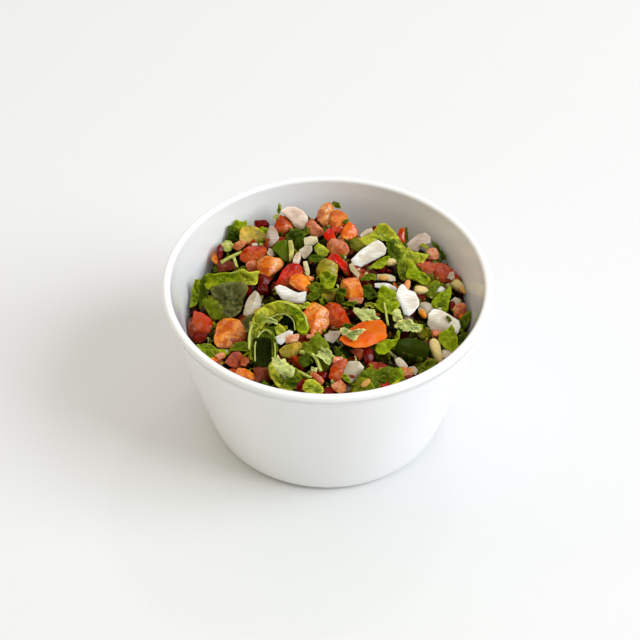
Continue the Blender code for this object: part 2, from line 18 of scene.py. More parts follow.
import bpy
import numpy as np
from mathutils import Matrix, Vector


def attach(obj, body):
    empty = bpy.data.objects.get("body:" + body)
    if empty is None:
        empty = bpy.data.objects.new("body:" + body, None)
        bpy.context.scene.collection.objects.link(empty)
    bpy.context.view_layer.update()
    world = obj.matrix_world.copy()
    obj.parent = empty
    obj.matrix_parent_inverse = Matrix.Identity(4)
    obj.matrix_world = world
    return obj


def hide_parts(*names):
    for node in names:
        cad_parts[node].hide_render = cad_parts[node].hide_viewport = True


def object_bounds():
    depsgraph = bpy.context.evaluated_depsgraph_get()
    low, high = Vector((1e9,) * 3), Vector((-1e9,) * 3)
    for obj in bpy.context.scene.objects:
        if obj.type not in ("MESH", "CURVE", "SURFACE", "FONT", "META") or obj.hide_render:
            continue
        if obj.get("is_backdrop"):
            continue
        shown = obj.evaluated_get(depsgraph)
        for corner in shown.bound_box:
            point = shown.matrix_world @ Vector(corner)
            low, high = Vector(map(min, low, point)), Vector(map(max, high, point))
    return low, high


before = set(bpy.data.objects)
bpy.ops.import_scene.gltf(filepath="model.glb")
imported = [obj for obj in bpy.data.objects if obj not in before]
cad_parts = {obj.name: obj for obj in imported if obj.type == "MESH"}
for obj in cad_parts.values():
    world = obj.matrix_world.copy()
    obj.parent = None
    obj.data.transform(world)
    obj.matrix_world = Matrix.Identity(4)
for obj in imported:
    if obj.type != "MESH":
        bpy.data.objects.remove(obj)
CAD_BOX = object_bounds()

MM = 0.001
BODY = "root"
Array = np.ndarray
Socket = bpy.types.NodeSocket
RIGHT = np.array([1.0, 0.0, 0.0])
UP = np.array([0.0, 0.0, 1.0])
log = logging.getLogger("pico")


# ---- Named options ----


class Tone(Enum):
    """Colours of the cut food, as linear red, green and blue."""

    FIRE = (0.47, 0.036, 0.001)
    RED = (0.60, 0.013, 0.003)
    ORANGE = (0.80, 0.172, 0.008)
    SALMON = (0.72, 0.215, 0.045)
    PINK = (0.72, 0.225, 0.080)
    # DUSKY, DEEP and BROWN are tomato colours with painted shade in them: they were read from pieces that lie
    # in shade.
    DUSKY = (0.58, 0.135, 0.036)
    DEEP = (0.17, 0.003, 0.001)
    BROWN = (0.24, 0.042, 0.014)
    MAROON = (0.40, 0.055, 0.018)
    WHITE = (0.89, 0.86, 0.80)
    CREAM = (0.62, 0.55, 0.34)
    BLUSH = (0.80, 0.64, 0.53)
    LILAC = (0.56, 0.445, 0.385)
    GLASS = (0.61, 0.55, 0.43)
    OLIVE_YELLOW = (0.46, 0.345, 0.026)
    PALE_GREEN = (0.52, 0.53, 0.11)
    GREEN = (0.085, 0.135, 0.003)
    LIME_FLESH = (0.38, 0.42, 0.004)
    DARK_OLIVE = (0.125, 0.128, 0.005)
    # Near-black green of the leaves laid in the dark gaps: painted shade.
    GAP_SHADE_GREEN = (0.010, 0.017, 0.001)
    CHILLI = (0.026, 0.042, 0.002)
    UNRIPE = (0.38, 0.29, 0.014)
    BRIGHT = (0.202, 0.270, 0.003)
    MID = (0.112, 0.148, 0.004)
    DARK = (0.054, 0.086, 0.003)
    PALE = (0.440, 0.500, 0.170)
    LIME = (0.325, 0.352, 0.022)
    GREY_GREEN = (0.104, 0.105, 0.031)
    OLIVE = (0.088, 0.122, 0.003)
    SEED_CREAM = (0.80, 0.69, 0.34)
    SEED_TAN = (0.66, 0.38, 0.10)
    SEED_SALMON = (0.80, 0.34, 0.12)
    SEED_AMBER = (0.82, 0.30, 0.015)


@dataclass(frozen=True)
class LeafForm:
    """Outline of a leaf.

    Attributes:
        point: 2 is an oval, less is more pointed.
        lobes: lobes round it.
        lobe_depth: of the cuts between them, as a share of its half size.
        teeth: teeth round it.
        tooth_depth: of the teeth, as a share of its half size.
        cut: where a straight cut ends it, as a share of its half size.
    """

    point: float
    lobes: int
    lobe_depth: float
    teeth: int
    tooth_depth: float
    cut: float = 1.0


class Leaf(Enum):
    """The ways in which the herb's leaves are torn and cut."""

    FAN = LeafForm(2.0, 5, 0.36, 23, 0.13, 0.85)
    OVAL = LeafForm(2.1, 3, 0.06, 17, 0.06, 0.8)
    TORN = LeafForm(2.8, 4, 0.22, 13, 0.14, 0.6)
    SPEAR = LeafForm(1.4, 2, 0.0, 17, 0.06)
    SPRIG = LeafForm(2.0, 7, 0.55, 21, 0.18)
    SAW = LeafForm(2.6, 2, 0.05, 27, 0.15, 0.85)


@dataclass(frozen=True)
class Bit:
    """One piece that shows.

    Attributes:
        spot: its middle in the picture, pixels from the upper left corner.
        size: length, breadth and thickness in millimetres.
        tone: its colour.
        turn: slope of its long side in the picture, degrees.
        lean: 0 lies on the heap, 1 faces the eye.
        lift: millimetres above the heap's level.
        form: outline of a leaf.
    """

    spot: tuple[float, float]
    size: tuple[float, ...]
    tone: Tone
    turn: float = 0.0
    lean: float = 0.4
    lift: float = 0.0
    form: Leaf = Leaf.OVAL

    @property
    def extent(self) -> tuple[float, ...]:
        """Its size in metres."""
        return tuple(side * MM for side in self.size)


@dataclass(frozen=True)
class Drawn:
    """One cut piece whose outline is drawn as it is seen.

    Attributes:
        outline: its corners in the picture, pixels from the upper left corner.
        tone: its colour.
        thick: millimetres.
        lift: millimetres above the heap's level.
        ridge: slope in the picture of the edge between its two faces, degrees.
        roof: fall of both faces from that edge.
        blend: how far its second face takes the kind's other colour.
        skin: 1 has skin above, 0 has none.
        lean: 0 lies on the heap, 1 faces the eye.
    """

    outline: str
    tone: Tone
    thick: float = 4.0
    lift: float = 1.0
    ridge: float = 60.0
    roof: float = 0.4
    blend: float = 0.3
    skin: float = 0.0
    lean: float = 0.65


@dataclass(frozen=True)
class DrawnLeaf:
    """One leaf whose outline is drawn as it is seen.

    Attributes:
        outline: its corners in the picture, pixels from the upper left corner.
        tone: its colour.
        lift: millimetres above the heap's level.
        lean: 0 lies on the heap, 1 faces the eye.
        teeth: depth of its teeth, millimetres.
        roll: how far its sides curl, radians.
        crease: height of its creases, millimetres.
    """

    outline: str
    tone: Tone
    lift: float = 1.0
    lean: float = 0.6
    teeth: float = 0.3
    roll: float = 0.4
    crease: float = 0.34


@dataclass(frozen=True)
class DrawnStalk:
    """One stalk whose line is drawn as it is seen.

    Attributes:
        line: places along it in the picture, pixels from the upper left corner.
        thick: millimetres.
        lift: millimetres above the heap's level.
    """

    line: str
    thick: float
    lift: float = 1.2


def spots_of(line: str) -> list[tuple[float, float]]:
    """The places in the picture that a drawn line or outline names."""
    return [(float(x), float(y)) for x, y in (pair.split(",") for pair in line.split())]


# ---- Shapes as arrays ----


@dataclass
class Shape:
    """Points and faces of one small thing, with what its finish reads at each point.

    Attributes:
        points: places, one row each, in metres.
        faces: rows of four indices; a triangle repeats its third.
        lie: place within the piece in millimetres, from which its grain is worked out.
        mark: skin, rim, pith and chance, each from 0 to 1.
        vein: turn about the leaf's foot in vein spacings, distance from it in mm, and 0.
    """

    points: Array
    faces: Array
    lie: Array
    mark: Array
    vein: Array


@cache
def block_net(cuts: int) -> tuple[Array, Array]:
    """The skin of a cube from -1 to 1, each side split evenly, with shared edges.

    Args:
        cuts: squares along each edge.

    Returns:
        Its points and its faces.
    """
    index: dict[tuple[int, ...], int] = {}
    faces = []
    for axis in range(3):
        for side in (0, cuts):
            for i in range(cuts):
                for j in range(cuts):
                    ring = [(i, j), (i + 1, j), (i + 1, j + 1), (i, j + 1)]
                    if (side == 0) != (axis == 1):
                        ring.reverse()
                    quad = []
                    for pair in ring:
                        key = list(pair)
                        key.insert(axis, side)
                        quad.append(index.setdefault(tuple(key), len(index)))
                    faces.append(quad)
    return np.array(list(index), float) * 2.0 / cuts - 1.0, np.array(faces)


def nearest_two(points: Array, seeds: Array) -> tuple[Array, Array, Array]:
    """Distance to the nearest and the second nearest seed, and which seed is nearest.

    Args:
        points: places, one row each.
        seeds: places of the seeds, one row each.

    Returns:
        The two distances and the nearest seed's number, for each point.
    """
    away = np.linalg.norm(points[:, None, :] - seeds[None, :, :], axis=2)
    order = np.argsort(away, axis=1)[:, :2]
    rows = np.arange(len(points))
    return away[rows, order[:, 0]], away[rows, order[:, 1]], order[:, 0]


def draw(rng: random.Random, low: float, high: float, *shape: int) -> Array:
    """An array of that shape, drawn evenly between two numbers."""
    count = math.prod(shape)
    return np.array([rng.uniform(low, high) for _ in range(count)]).reshape(shape)


def fan(tip: int, ring: Array, turned: bool = False) -> Array:
    """Triangles between a point and a ring of points.

    Args:
        tip: the point's index.
        ring: indices round the ring.
        turned: the triangles front to the other side.

    Returns:
        The faces.
    """
    after = np.roll(ring, -1)
    first, second = (after, ring) if turned else (ring, after)
    return np.stack([np.full(len(ring), tip), first, second, second], axis=1)


def bands(ring: Array, count: int, turned: bool = False) -> list[Array]:
    """Quads between rings of points that follow each other.

    Args:
        ring: indices round the first ring.
        count: rings.
        turned: the quads front to the other side.

    Returns:
        The faces between each ring and the next.
    """
    faces = []
    for step in range(count - 1):
        low = ring + step * len(ring)
        high = low + len(ring)
        quads = [low, high, np.roll(high, -1), np.roll(low, -1)]
        faces.append(np.stack([low, *reversed(quads[1:])] if turned else quads, axis=1))
    return faces


def blank(count: int) -> Array:
    """Marks of as many points, all of them 0."""
    return np.zeros((count, 4))


@dataclass(frozen=True)
class Cut:
    """How a knife-cut block is made.

    Attributes:
        cuts: squares along each edge of its mesh.
        crisp: high has sharp edges, 2 is a ball.
        stray: how far its sides lean from a box's, as a share of a right angle.
        chops: corners and edges that are cut off.
        bow: how far its two ends hang, as a share of its length.
        cup: how far its two sides stand up, as a share of its breadth.
        taper: how much narrower one end is.
        dent: depth of its broad dents, as a share of its half size.
        grain: height of its pulpy bumps, metres.
        grain_pitch: their spacing, metres.
    """

    cuts: int = 12
    crisp: float = 14.0
    stray: float = 0.22
    chops: int = 3
    bow: float = 0.0
    cup: float = 0.0
    taper: float = 0.0
    dent: float = 0.07
    grain: float = 0.10 * MM
    grain_pitch: float = 1.2 * MM


def knife_planes(cut: Cut, rng: random.Random) -> tuple[Array, Array]:
    """The planes between which a block lies: six sides, and cuts across its corners and edges.

    Args:
        cut: how it is made.
        rng: source of their unevenness.

    Returns:
        Their directions, one row each, and their distances from its middle.
    """
    sides = np.concatenate([np.eye(3), -np.eye(3)]) + draw(rng, -cut.stray, cut.stray, 6, 3)
    chopped = draw(rng, -1.0, 1.0, cut.chops, 3)
    chopped[:, 2] *= 0.7
    chopped = np.sign(chopped) * (0.25 + 0.75 * np.abs(chopped))
    planes = np.concatenate([sides, chopped])
    planes /= np.linalg.norm(planes, axis=1)[:, None]
    return planes, np.concatenate([draw(rng, 0.88, 1.0, 6), draw(rng, 0.98, 1.22, cut.chops)])


def block(size: tuple[float, ...], cut: Cut, skin: int, rng: random.Random) -> Shape:
    """A knife-cut piece of fruit or bulb, its middle at the origin and its skin towards Z.

    It is the room between a few planes, with its edges a little rounded.

    Args:
        size: length, breadth and thickness in metres.
        cut: how it is made.
        skin: 1 has skin above, -1 below, 0 has none.
        rng: source of its unevenness.

    Returns:
        The shape.
    """
    net, faces = block_net(cut.cuts)
    way = net / np.linalg.norm(net, axis=1)[:, None]
    planes, depth = knife_planes(cut, rng)
    against = np.maximum(way @ planes.T, 0.0) / depth
    reach = (against**cut.crisp).sum(axis=1) ** (-1.0 / cut.crisp)
    level = np.sort(against * reach[:, None], axis=1)
    turns = draw(rng, 1.6, 3.4, 3) * np.array([rng.choice((-1, 1)) for _ in range(3)])
    broad = np.sin(way @ turns + rng.uniform(0.0, math.tau)) * np.cos(2.0 * way @ turns[::-1])
    unit_place = way * (reach * (1.0 + cut.dent * broad))[:, None]
    half = np.array(size) / 2.0
    skinned = np.zeros(len(way))
    if skin:
        side = (against * reach[:, None])[:, 2 if skin > 0 else 5]
        skinned = np.clip((side - 0.86) / 0.10, 0.0, 1.0)
    points = unit_place * half
    points[:, 1] *= 1.0 - cut.taper * (unit_place[:, 0] + 1.0) / 2.0
    pitch = cut.grain_pitch
    count = int(np.clip(np.prod(np.array(size) / pitch + 0.6) * 1.1, 8, 90))
    seeds = draw(rng, -1.0, 1.0, count, 3) * (half + 0.3 * pitch)
    near, second, _ = nearest_two(points, seeds)
    dome = np.clip((second - near) / pitch, 0.0, 0.7) - 0.35
    points = points + way * (cut.grain * 2.0 * dome * (1.0 - 0.9 * skinned))[:, None]
    points[:, 2] -= cut.bow * size[0] * unit_place[:, 0] ** 2
    points[:, 2] += cut.cup * size[1] * unit_place[:, 1] ** 2
    mark = blank(len(way))
    mark[:, 0] = skinned
    mark[:, 1] = np.clip((level[:, -2] / level[:, -1] - 0.86) / 0.12, 0.0, 1.0)
    mark[:, 2] = np.clip(unit_place[:, 0] * 0.5 + 0.5, 0.0, 1.0)
    mark[:, 3] = rng.random()
    lie = unit_place * half / MM + draw(rng, 0.0, 90.0, 3)
    return Shape(points, faces, lie, mark, np.zeros((len(way), 3)))


def unit_normals(points: Array, faces: Array) -> Array:
    """Normals at the points of a mesh, from the faces round them.

    Args:
        points: places, one row each.
        faces: rows of four indices.

    Returns:
        One unit vector for each point.
    """
    a = points[faces[:, 2]] - points[faces[:, 0]]
    b = points[faces[:, 3]] - points[faces[:, 1]]
    triangle = faces[:, 2] == faces[:, 3]
    b[triangle] = points[faces[triangle, 2]] - points[faces[triangle, 1]]
    across = np.cross(a, b)
    total = np.zeros_like(points)
    for corner in range(4):
        np.add.at(total, faces[:, corner], across)
    return total / np.maximum(np.linalg.norm(total, axis=1), 1e-15)[:, None]


def thicken(middle: Shape, thickness: float, rim: Array) -> Shape:
    """A closed thin body about a middle sheet.

    Args:
        middle: the sheet.
        thickness: metres.
        rim: indices round its open edge, the way its faces turn.

    Returns:
        The body, its upper face first.
    """
    count = len(middle.points)
    half = 0.5 * thickness * unit_normals(middle.points, middle.faces)
    thin = np.ones(count)
    thin[rim] = 0.45
    half *= thin[:, None]
    after = np.roll(rim, -1)
    side = np.stack([rim + count, after + count, after, rim], axis=1)
    under = middle.faces[:, ::-1] + count
    triangle = middle.faces[:, 2] == middle.faces[:, 3]
    under[triangle] = middle.faces[triangle][:, [2, 1, 0, 0]] + count
    points = np.concatenate([middle.points + half, middle.points - half])
    faces = np.concatenate([middle.faces, under, side])
    doubled = [np.concatenate([part, part]) for part in (middle.lie, middle.mark, middle.vein)]
    return Shape(points, faces, *doubled)


@dataclass(frozen=True)
class Hang:
    """How a leaf lies.

    Attributes:
        fold: rise of its two halves from the middle rib, as a share of its breadth.
        droop: fall of its ends, metres.
        ruffle: height of its waves, as a share of its length.
        waves: waves round its rim.
        roll: how far its sides curl, radians.
        twist: turn of one end against the other, radians.
        crease: height of its creases, metres.
    """

    fold: float = 0.2
    droop: float = 2.0 * MM
    ruffle: float = 0.06
    waves: int = 3
    roll: float = 0.0
    twist: float = 0.0
    crease: float = 0.2 * MM


# A leaf's thickness, the turn between its veins, its foot's distance from its middle as a share
# of its length, and the spacings of its creases.
LEAF_SHEET = 0.26 * MM
VEIN_TURN = math.radians(24.0)
FOOT = 0.55
CREASE_PITCHES = (2.2 * MM, 1.5 * MM, 1.0 * MM, 0.8 * MM)


def leaf_edge(size: tuple[float, ...], form: LeafForm, fine: int, rng: random.Random) -> Array:
    """The edge of a leaf with lobes and teeth, cut straight across once or twice.

    Args:
        size: length and breadth in metres.
        form: its outline.
        fine: points round it.
        rng: source of its unevenness.

    Returns:
        Its points, one row each, about its middle.
    """
    angle = math.tau * np.arange(fine) / fine
    cosine = np.cos(angle)
    sine = np.sin(angle)
    reach = (np.abs(cosine) ** form.point + np.abs(sine) ** form.point) ** (-1.0 / form.point)
    phase = rng.uniform(0.0, math.tau)
    notch = (1.0 - np.abs(np.sin(0.5 * form.lobes * angle + phase))) ** 1.5
    reach *= 1.0 - form.lobe_depth * notch
    turn = np.mod(form.teeth * angle / math.tau + phase, float(form.teeth))
    sizes = draw(rng, 0.5, 1.3, form.teeth + 1)[turn.astype(int)]
    reach *= 1.0 - form.tooth_depth * sizes * np.mod(turn, 1.0)
    reach *= 1.0 + 0.07 * np.sin(2.0 * angle + 2.0 * phase) + 0.05 * np.sin(3.0 * angle - phase)
    for _ in range(2 if form.cut < 0.7 else 1):
        if form.cut < 1.0:
            limit = form.cut * rng.uniform(0.85, 1.15)
            side = rng.uniform(0.0, math.tau)
            facing = np.maximum(np.cos(angle - side), 0.05)
            reach = np.minimum(reach, limit / facing)
    return np.stack([0.5 * size[0] * reach * cosine, 0.5 * size[1] * reach * sine], axis=1)


def leaf(edge: Array, hang: Hang, rings: int, rng: random.Random) -> Shape:
    """A thin, creased leaf with a middle rib and puffed flesh between its veins.

    Args:
        edge: its edge about its middle, one row for each point.
        hang: how it lies.
        rings: rings of faces from its middle to its edge.
        rng: source of its unevenness.

    Returns:
        The shape, closed, its foot towards -X.
    """
    fine = len(edge)
    length, breadth = np.ptp(edge, axis=0)
    share = ((np.arange(rings) + 1.0) / rings) ** 0.85
    flat = np.concatenate([[[0.0, 0.0]], (share[:, None, None] * edge[None, :, :]).reshape(-1, 2)])
    x, y = flat.T
    u = 2.0 * x / length
    v = 2.0 * y / breadth
    rho = np.concatenate([[0.0], np.repeat(share, fine)])
    around = np.arctan2(v, u)
    phase = rng.uniform(0.0, math.tau)
    turn = np.arctan2(y, x + FOOT * length) / VEIN_TURN
    away = np.hypot(x + FOOT * length, y)
    wave = np.sin(hang.waves * around + phase)
    z = hang.ruffle * length * rho**2 * wave
    finer_wave = np.sin((2 * hang.waves + 3) * around - 2.0 * phase)
    z += 0.4 * hang.ruffle * length * rho**2 * finer_wave
    z += 0.10 * MM * np.cos(math.tau * turn) * (1.0 - rho**4)
    z += 0.05 * MM * np.sin(away / (0.9 * MM) + 3.0 * np.abs(turn)) * (1.0 - rho**2)
    z += hang.fold * breadth * np.abs(v) ** 1.3 - hang.droop * (u * u + 0.25 * v * v)
    for pitch in CREASE_PITCHES:
        way = rng.uniform(0.0, math.pi)
        along = (x * math.cos(way) + y * math.sin(way)) / pitch + 0.5 * np.sin(2.0 * u + 3.0 * v)
        z += hang.crease * pitch / MM * (np.abs(np.sin(along + rng.uniform(0.0, math.pi))) - 0.6)
    if hang.roll:
        radius = 0.5 * breadth / hang.roll
        bend = v * hang.roll
        y = (radius - z) * np.sin(bend)
        z = radius - (radius - z) * np.cos(bend)
    turned = hang.twist * u
    y, z = y * np.cos(turned) - z * np.sin(turned), y * np.sin(turned) + z * np.cos(turned)
    near = 1 + np.arange(fine)
    faces = [fan(0, near), *bands(near, rings)]
    mark = blank(len(flat))
    mark[:, 1] = rho**6
    mark[:, 2] = np.exp(-((v / 0.16) ** 2)) * (1.0 - rho**3)
    mark[:, 3] = rng.random()
    lie = np.stack([flat[:, 0], flat[:, 1], 0.0 * u], axis=1) / MM + draw(rng, 0.0, 90.0, 3)
    vein = np.stack([turn, away / MM, 0.0 * turn], axis=1)
    middle = Shape(np.stack([x, y, z], axis=1), np.concatenate(faces), lie, mark, vein)
    return thicken(middle, LEAF_SHEET, near + (rings - 1) * fine)


def rounded(corners: Array, share: float) -> Array:
    """A closed line with its corners cut off by a share of its sides.

    Args:
        corners: its points, one row each.
        share: of each side, cut off at both ends.

    Returns:
        Twice as many points.
    """
    after = np.roll(corners, -1, axis=0)
    keep = 1.0 - share
    return np.stack([keep * corners + share * after, share * corners + keep * after], axis=1).reshape(-1, 2)


def spread(corners: Array, count: int) -> Array:
    """Points spread evenly along a closed line.

    Args:
        corners: its points, one row each.
        count: points of the result.

    Returns:
        The points, one row each.
    """
    closed = np.concatenate([corners, corners[:1]])
    run = np.concatenate([[0.0], np.cumsum(np.linalg.norm(np.diff(closed, axis=0), axis=1))])
    at = run[-1] * np.arange(count) / count
    return np.stack([np.interp(at, run, closed[:, side]) for side in (0, 1)], axis=1)


def serrated(edge: Array, depth: float, pitch: float, rng: random.Random) -> Array:
    """A closed line with saw teeth, in places finer and in places coarser.

    Args:
        edge: its points, evenly spread.
        depth: of the teeth, metres.
        pitch: of the teeth, metres.
        rng: source of their unevenness.

    Returns:
        Its points.
    """
    ahead = np.roll(edge, -1, axis=0) - np.roll(edge, 1, axis=0)
    size = np.linalg.norm(ahead, axis=1)
    outward = np.stack([ahead[:, 1], -ahead[:, 0]], axis=1) / size[:, None]
    run = np.cumsum(0.5 * size) / pitch + rng.random()
    strength = 0.55 + 0.45 * np.sin(run * 0.9 + rng.uniform(0.0, math.tau))
    saw = np.mod(run + 0.12 * np.sin(3.1 * run), 1.0) - 0.5
    return edge + outward * (depth * strength * saw)[:, None]


def lumps(points: Array, pitch: float, rng: random.Random) -> Array:
    """Smooth unevenness from -1 to 1 over places.

    Args:
        points: places, one row each.
        pitch: spacing of the lumps, metres.
        rng: source of their places.

    Returns:
        One height for each point.
    """
    total = np.zeros(len(points))
    for _ in range(5):
        way = unit(draw(rng, -1.0, 1.0, points.shape[1]))
        bent = points @ way / pitch * math.pi + rng.uniform(0.0, math.tau)
        side = points @ np.roll(way, 1) / pitch * 2.2 + rng.uniform(0.0, math.tau)
        total += np.sin(bent + 0.9 * np.sin(side))
    return total / 3.2


@dataclass(frozen=True)
class Face:
    """The upper side of a cut piece: two faces that meet in an edge.

    Attributes:
        ridge: slope of that edge, radians.
        roof: fall of both faces from it, per unit of distance.
        shift: how far the edge lies off the middle, as a share of the piece's half size.
        lump: height of its broad lumps, metres.
        grain: height of its fine grain, metres.
        skin: 1 is all skin, 0 has none.
        facets: flat cuts across its corners.
        steeper: how much steeper the lower face is than the upper one, as a share.
    """

    ridge: float = math.radians(90.0)
    roof: float = 0.35
    shift: float = 0.0
    lump: float = 0.22 * MM
    grain: float = 0.05 * MM
    skin: float = 0.0
    facets: int = 3
    steeper: float = 0.0


# Rings of a slab from its middle down to its underside: share of its edge's reach, share of its fall.
SLAB_ROWS = (
    *((0.18, 0.0), (0.34, 0.0), (0.48, 0.0), (0.61, 0.0), (0.73, 0.0), (0.84, 0.0), (0.93, 0.01)),
    *((0.975, 0.03), (1.0, 0.09), (1.0, 0.30), (0.98, 0.60), (0.92, 0.84), (0.75, 1.0)),
)


def slab(edge: Array, thick: float, face: Face, down: Array, rng: random.Random) -> Shape:
    """A cut piece under a drawn edge: a low roof above, sides that fall away beneath.

    Args:
        edge: its edge about its middle, one row for each point.
        thick: metres.
        face: its upper side.
        down: direction in which its sides fall.
        rng: source of its unevenness.

    Returns:
        The shape, closed.
    """
    count = len(edge)
    share, drop = np.array(SLAB_ROWS).T
    rows = share[:, None, None] * edge[None, :, :]
    flat = np.concatenate([[[0.0, 0.0]], rows.reshape(-1, 2), [[0.0, 0.0]]])
    fall = np.concatenate([[0.0], np.repeat(drop, count), [1.0]])
    rho = np.concatenate([[0.0], np.repeat(share, count), [0.0]])
    half = 0.5 * np.ptp(edge, axis=0).mean()
    off = flat @ np.array([-math.sin(face.ridge), math.cos(face.ridge)]) - face.shift * half
    roof = -face.roof * (np.sqrt(off**2 + (0.03 * half) ** 2) - face.steeper * off - 0.35 * half)
    for _ in range(face.facets):
        way = rng.uniform(0.0, math.tau)
        ahead = flat @ np.array([math.cos(way), math.sin(way)]) / half
        steepness = rng.uniform(0.5, 1.1)
        facet = 0.35 * face.roof - steepness * (ahead - rng.uniform(0.15, 0.6))
        roof = np.minimum(roof, facet * half)
    z = roof * (1.0 - 0.5 * fall)
    points = np.concatenate([flat, z[:, None]], axis=1) + (thick * fall)[:, None] * down
    swell = face.lump * lumps(points, 2.6 * MM, rng) + face.grain * lumps(points, 0.7 * MM, rng)
    sideways = flat / half * np.minimum(1.0, 2.0 * fall)[:, None]
    outward = np.concatenate([sideways, np.ones((len(z), 1))], axis=1)
    outward[fall > 0.9, 2] = -1.0
    points += outward / np.linalg.norm(outward, axis=1)[:, None] * swell[:, None]
    ring = 1 + np.arange(count)
    last = ring + (len(SLAB_ROWS) - 1) * count
    faces = [fan(0, ring), *bands(ring, len(SLAB_ROWS)), fan(len(points) - 1, last, turned=True)]
    mark = blank(len(points))
    mark[:, 0] = face.skin * np.clip((0.30 - fall) / 0.12, 0.0, 1.0)
    mark[:, 1] = np.clip((rho - 0.88) / 0.08, 0.0, 1.0) * np.clip((0.5 - fall) / 0.2, 0.0, 1.0)
    mark[:, 2] = np.clip(0.5 + 0.5 * off / half, 0.0, 1.0)
    mark[:, 3] = rng.random()
    lie = points / MM + draw(rng, 0.0, 90.0, 3)
    return Shape(points, np.concatenate(faces), lie, mark, 0.0 * points)


def smooth_route(route: Array, steps: int) -> Array:
    """A smooth line through a few points (Catmull-Rom).

    Args:
        route: the points, one row each.
        steps: points of the result.

    Returns:
        The line's points, evenly spaced by parameter.
    """
    padded = np.concatenate([[2 * route[0] - route[1]], route, [2 * route[-1] - route[-2]]])
    spans = len(route) - 1
    at = np.linspace(0.0, spans - 1e-9, steps)
    span = at.astype(int)
    t = (at - span)[:, None]
    a, b, c, d = (padded[span + step] for step in range(4))
    curve = (2 * a - 5 * b + 4 * c - d) * t**2 + (3 * b - a - 3 * c + d) * t**3
    return 0.5 * (2 * b + (c - a) * t + curve)


def tube(route: Array, radius: Array, sides: int, ridge: float, rng: random.Random) -> Shape:
    """A stalk along a line, ridged and closed at both ends.

    Args:
        route: the line's points, in metres.
        radius: its radius at each point.
        sides: points round it.
        ridge: height of its ridges as a share of its radius.
        rng: source of its chance mark.

    Returns:
        The shape.
    """
    ahead = np.gradient(route, axis=0)
    ahead /= np.linalg.norm(ahead, axis=1)[:, None]
    across = np.cross(ahead, np.array([0.05, 0.1, 1.0]))
    across /= np.linalg.norm(across, axis=1)[:, None]
    up = np.cross(across, ahead)
    angle = math.tau * np.arange(sides) / sides
    swell = 1.0 + ridge * np.cos(5.0 * angle)
    ring = np.cos(angle)[None, :, None] * across[:, None, :] + np.sin(angle)[None, :, None] * up[:, None, :]
    points = route[:, None, :] + ring * (radius[:, None] * swell[None, :])[:, :, None]
    points = np.concatenate([points.reshape(-1, 3), route[:1], route[-1:]])
    count = len(route)
    base = np.arange(sides)
    tip = count * sides
    faces = [*bands(base, count), fan(tip, base), fan(tip + 1, base + tip - sides, turned=True)]
    along = np.concatenate([np.repeat(np.linspace(0.0, 1.0, count), sides), [0.0, 1.0]])
    mark = blank(len(points))
    mark[:, 1] = np.abs(along - 0.5) * 2.0
    mark[:, 3] = rng.random()
    lie = np.stack([along * 20.0, np.concatenate([np.tile(angle, count), [0, 0]]), 0 * along], axis=1)
    return Shape(points, np.concatenate(faces), lie + draw(rng, 0.0, 90.0, 3), mark, np.zeros_like(points))


def stalk(route: Array, thickness: float, rng: random.Random) -> Shape:
    """A stalk along a few points, a little thinner at its end."""
    line = smooth_route(route, 22)
    return tube(line, 0.5 * thickness * np.linspace(1.08, 0.9, len(line)), 12, 0.05, rng)


# ---- The bowl, the heap's level and the picture ----


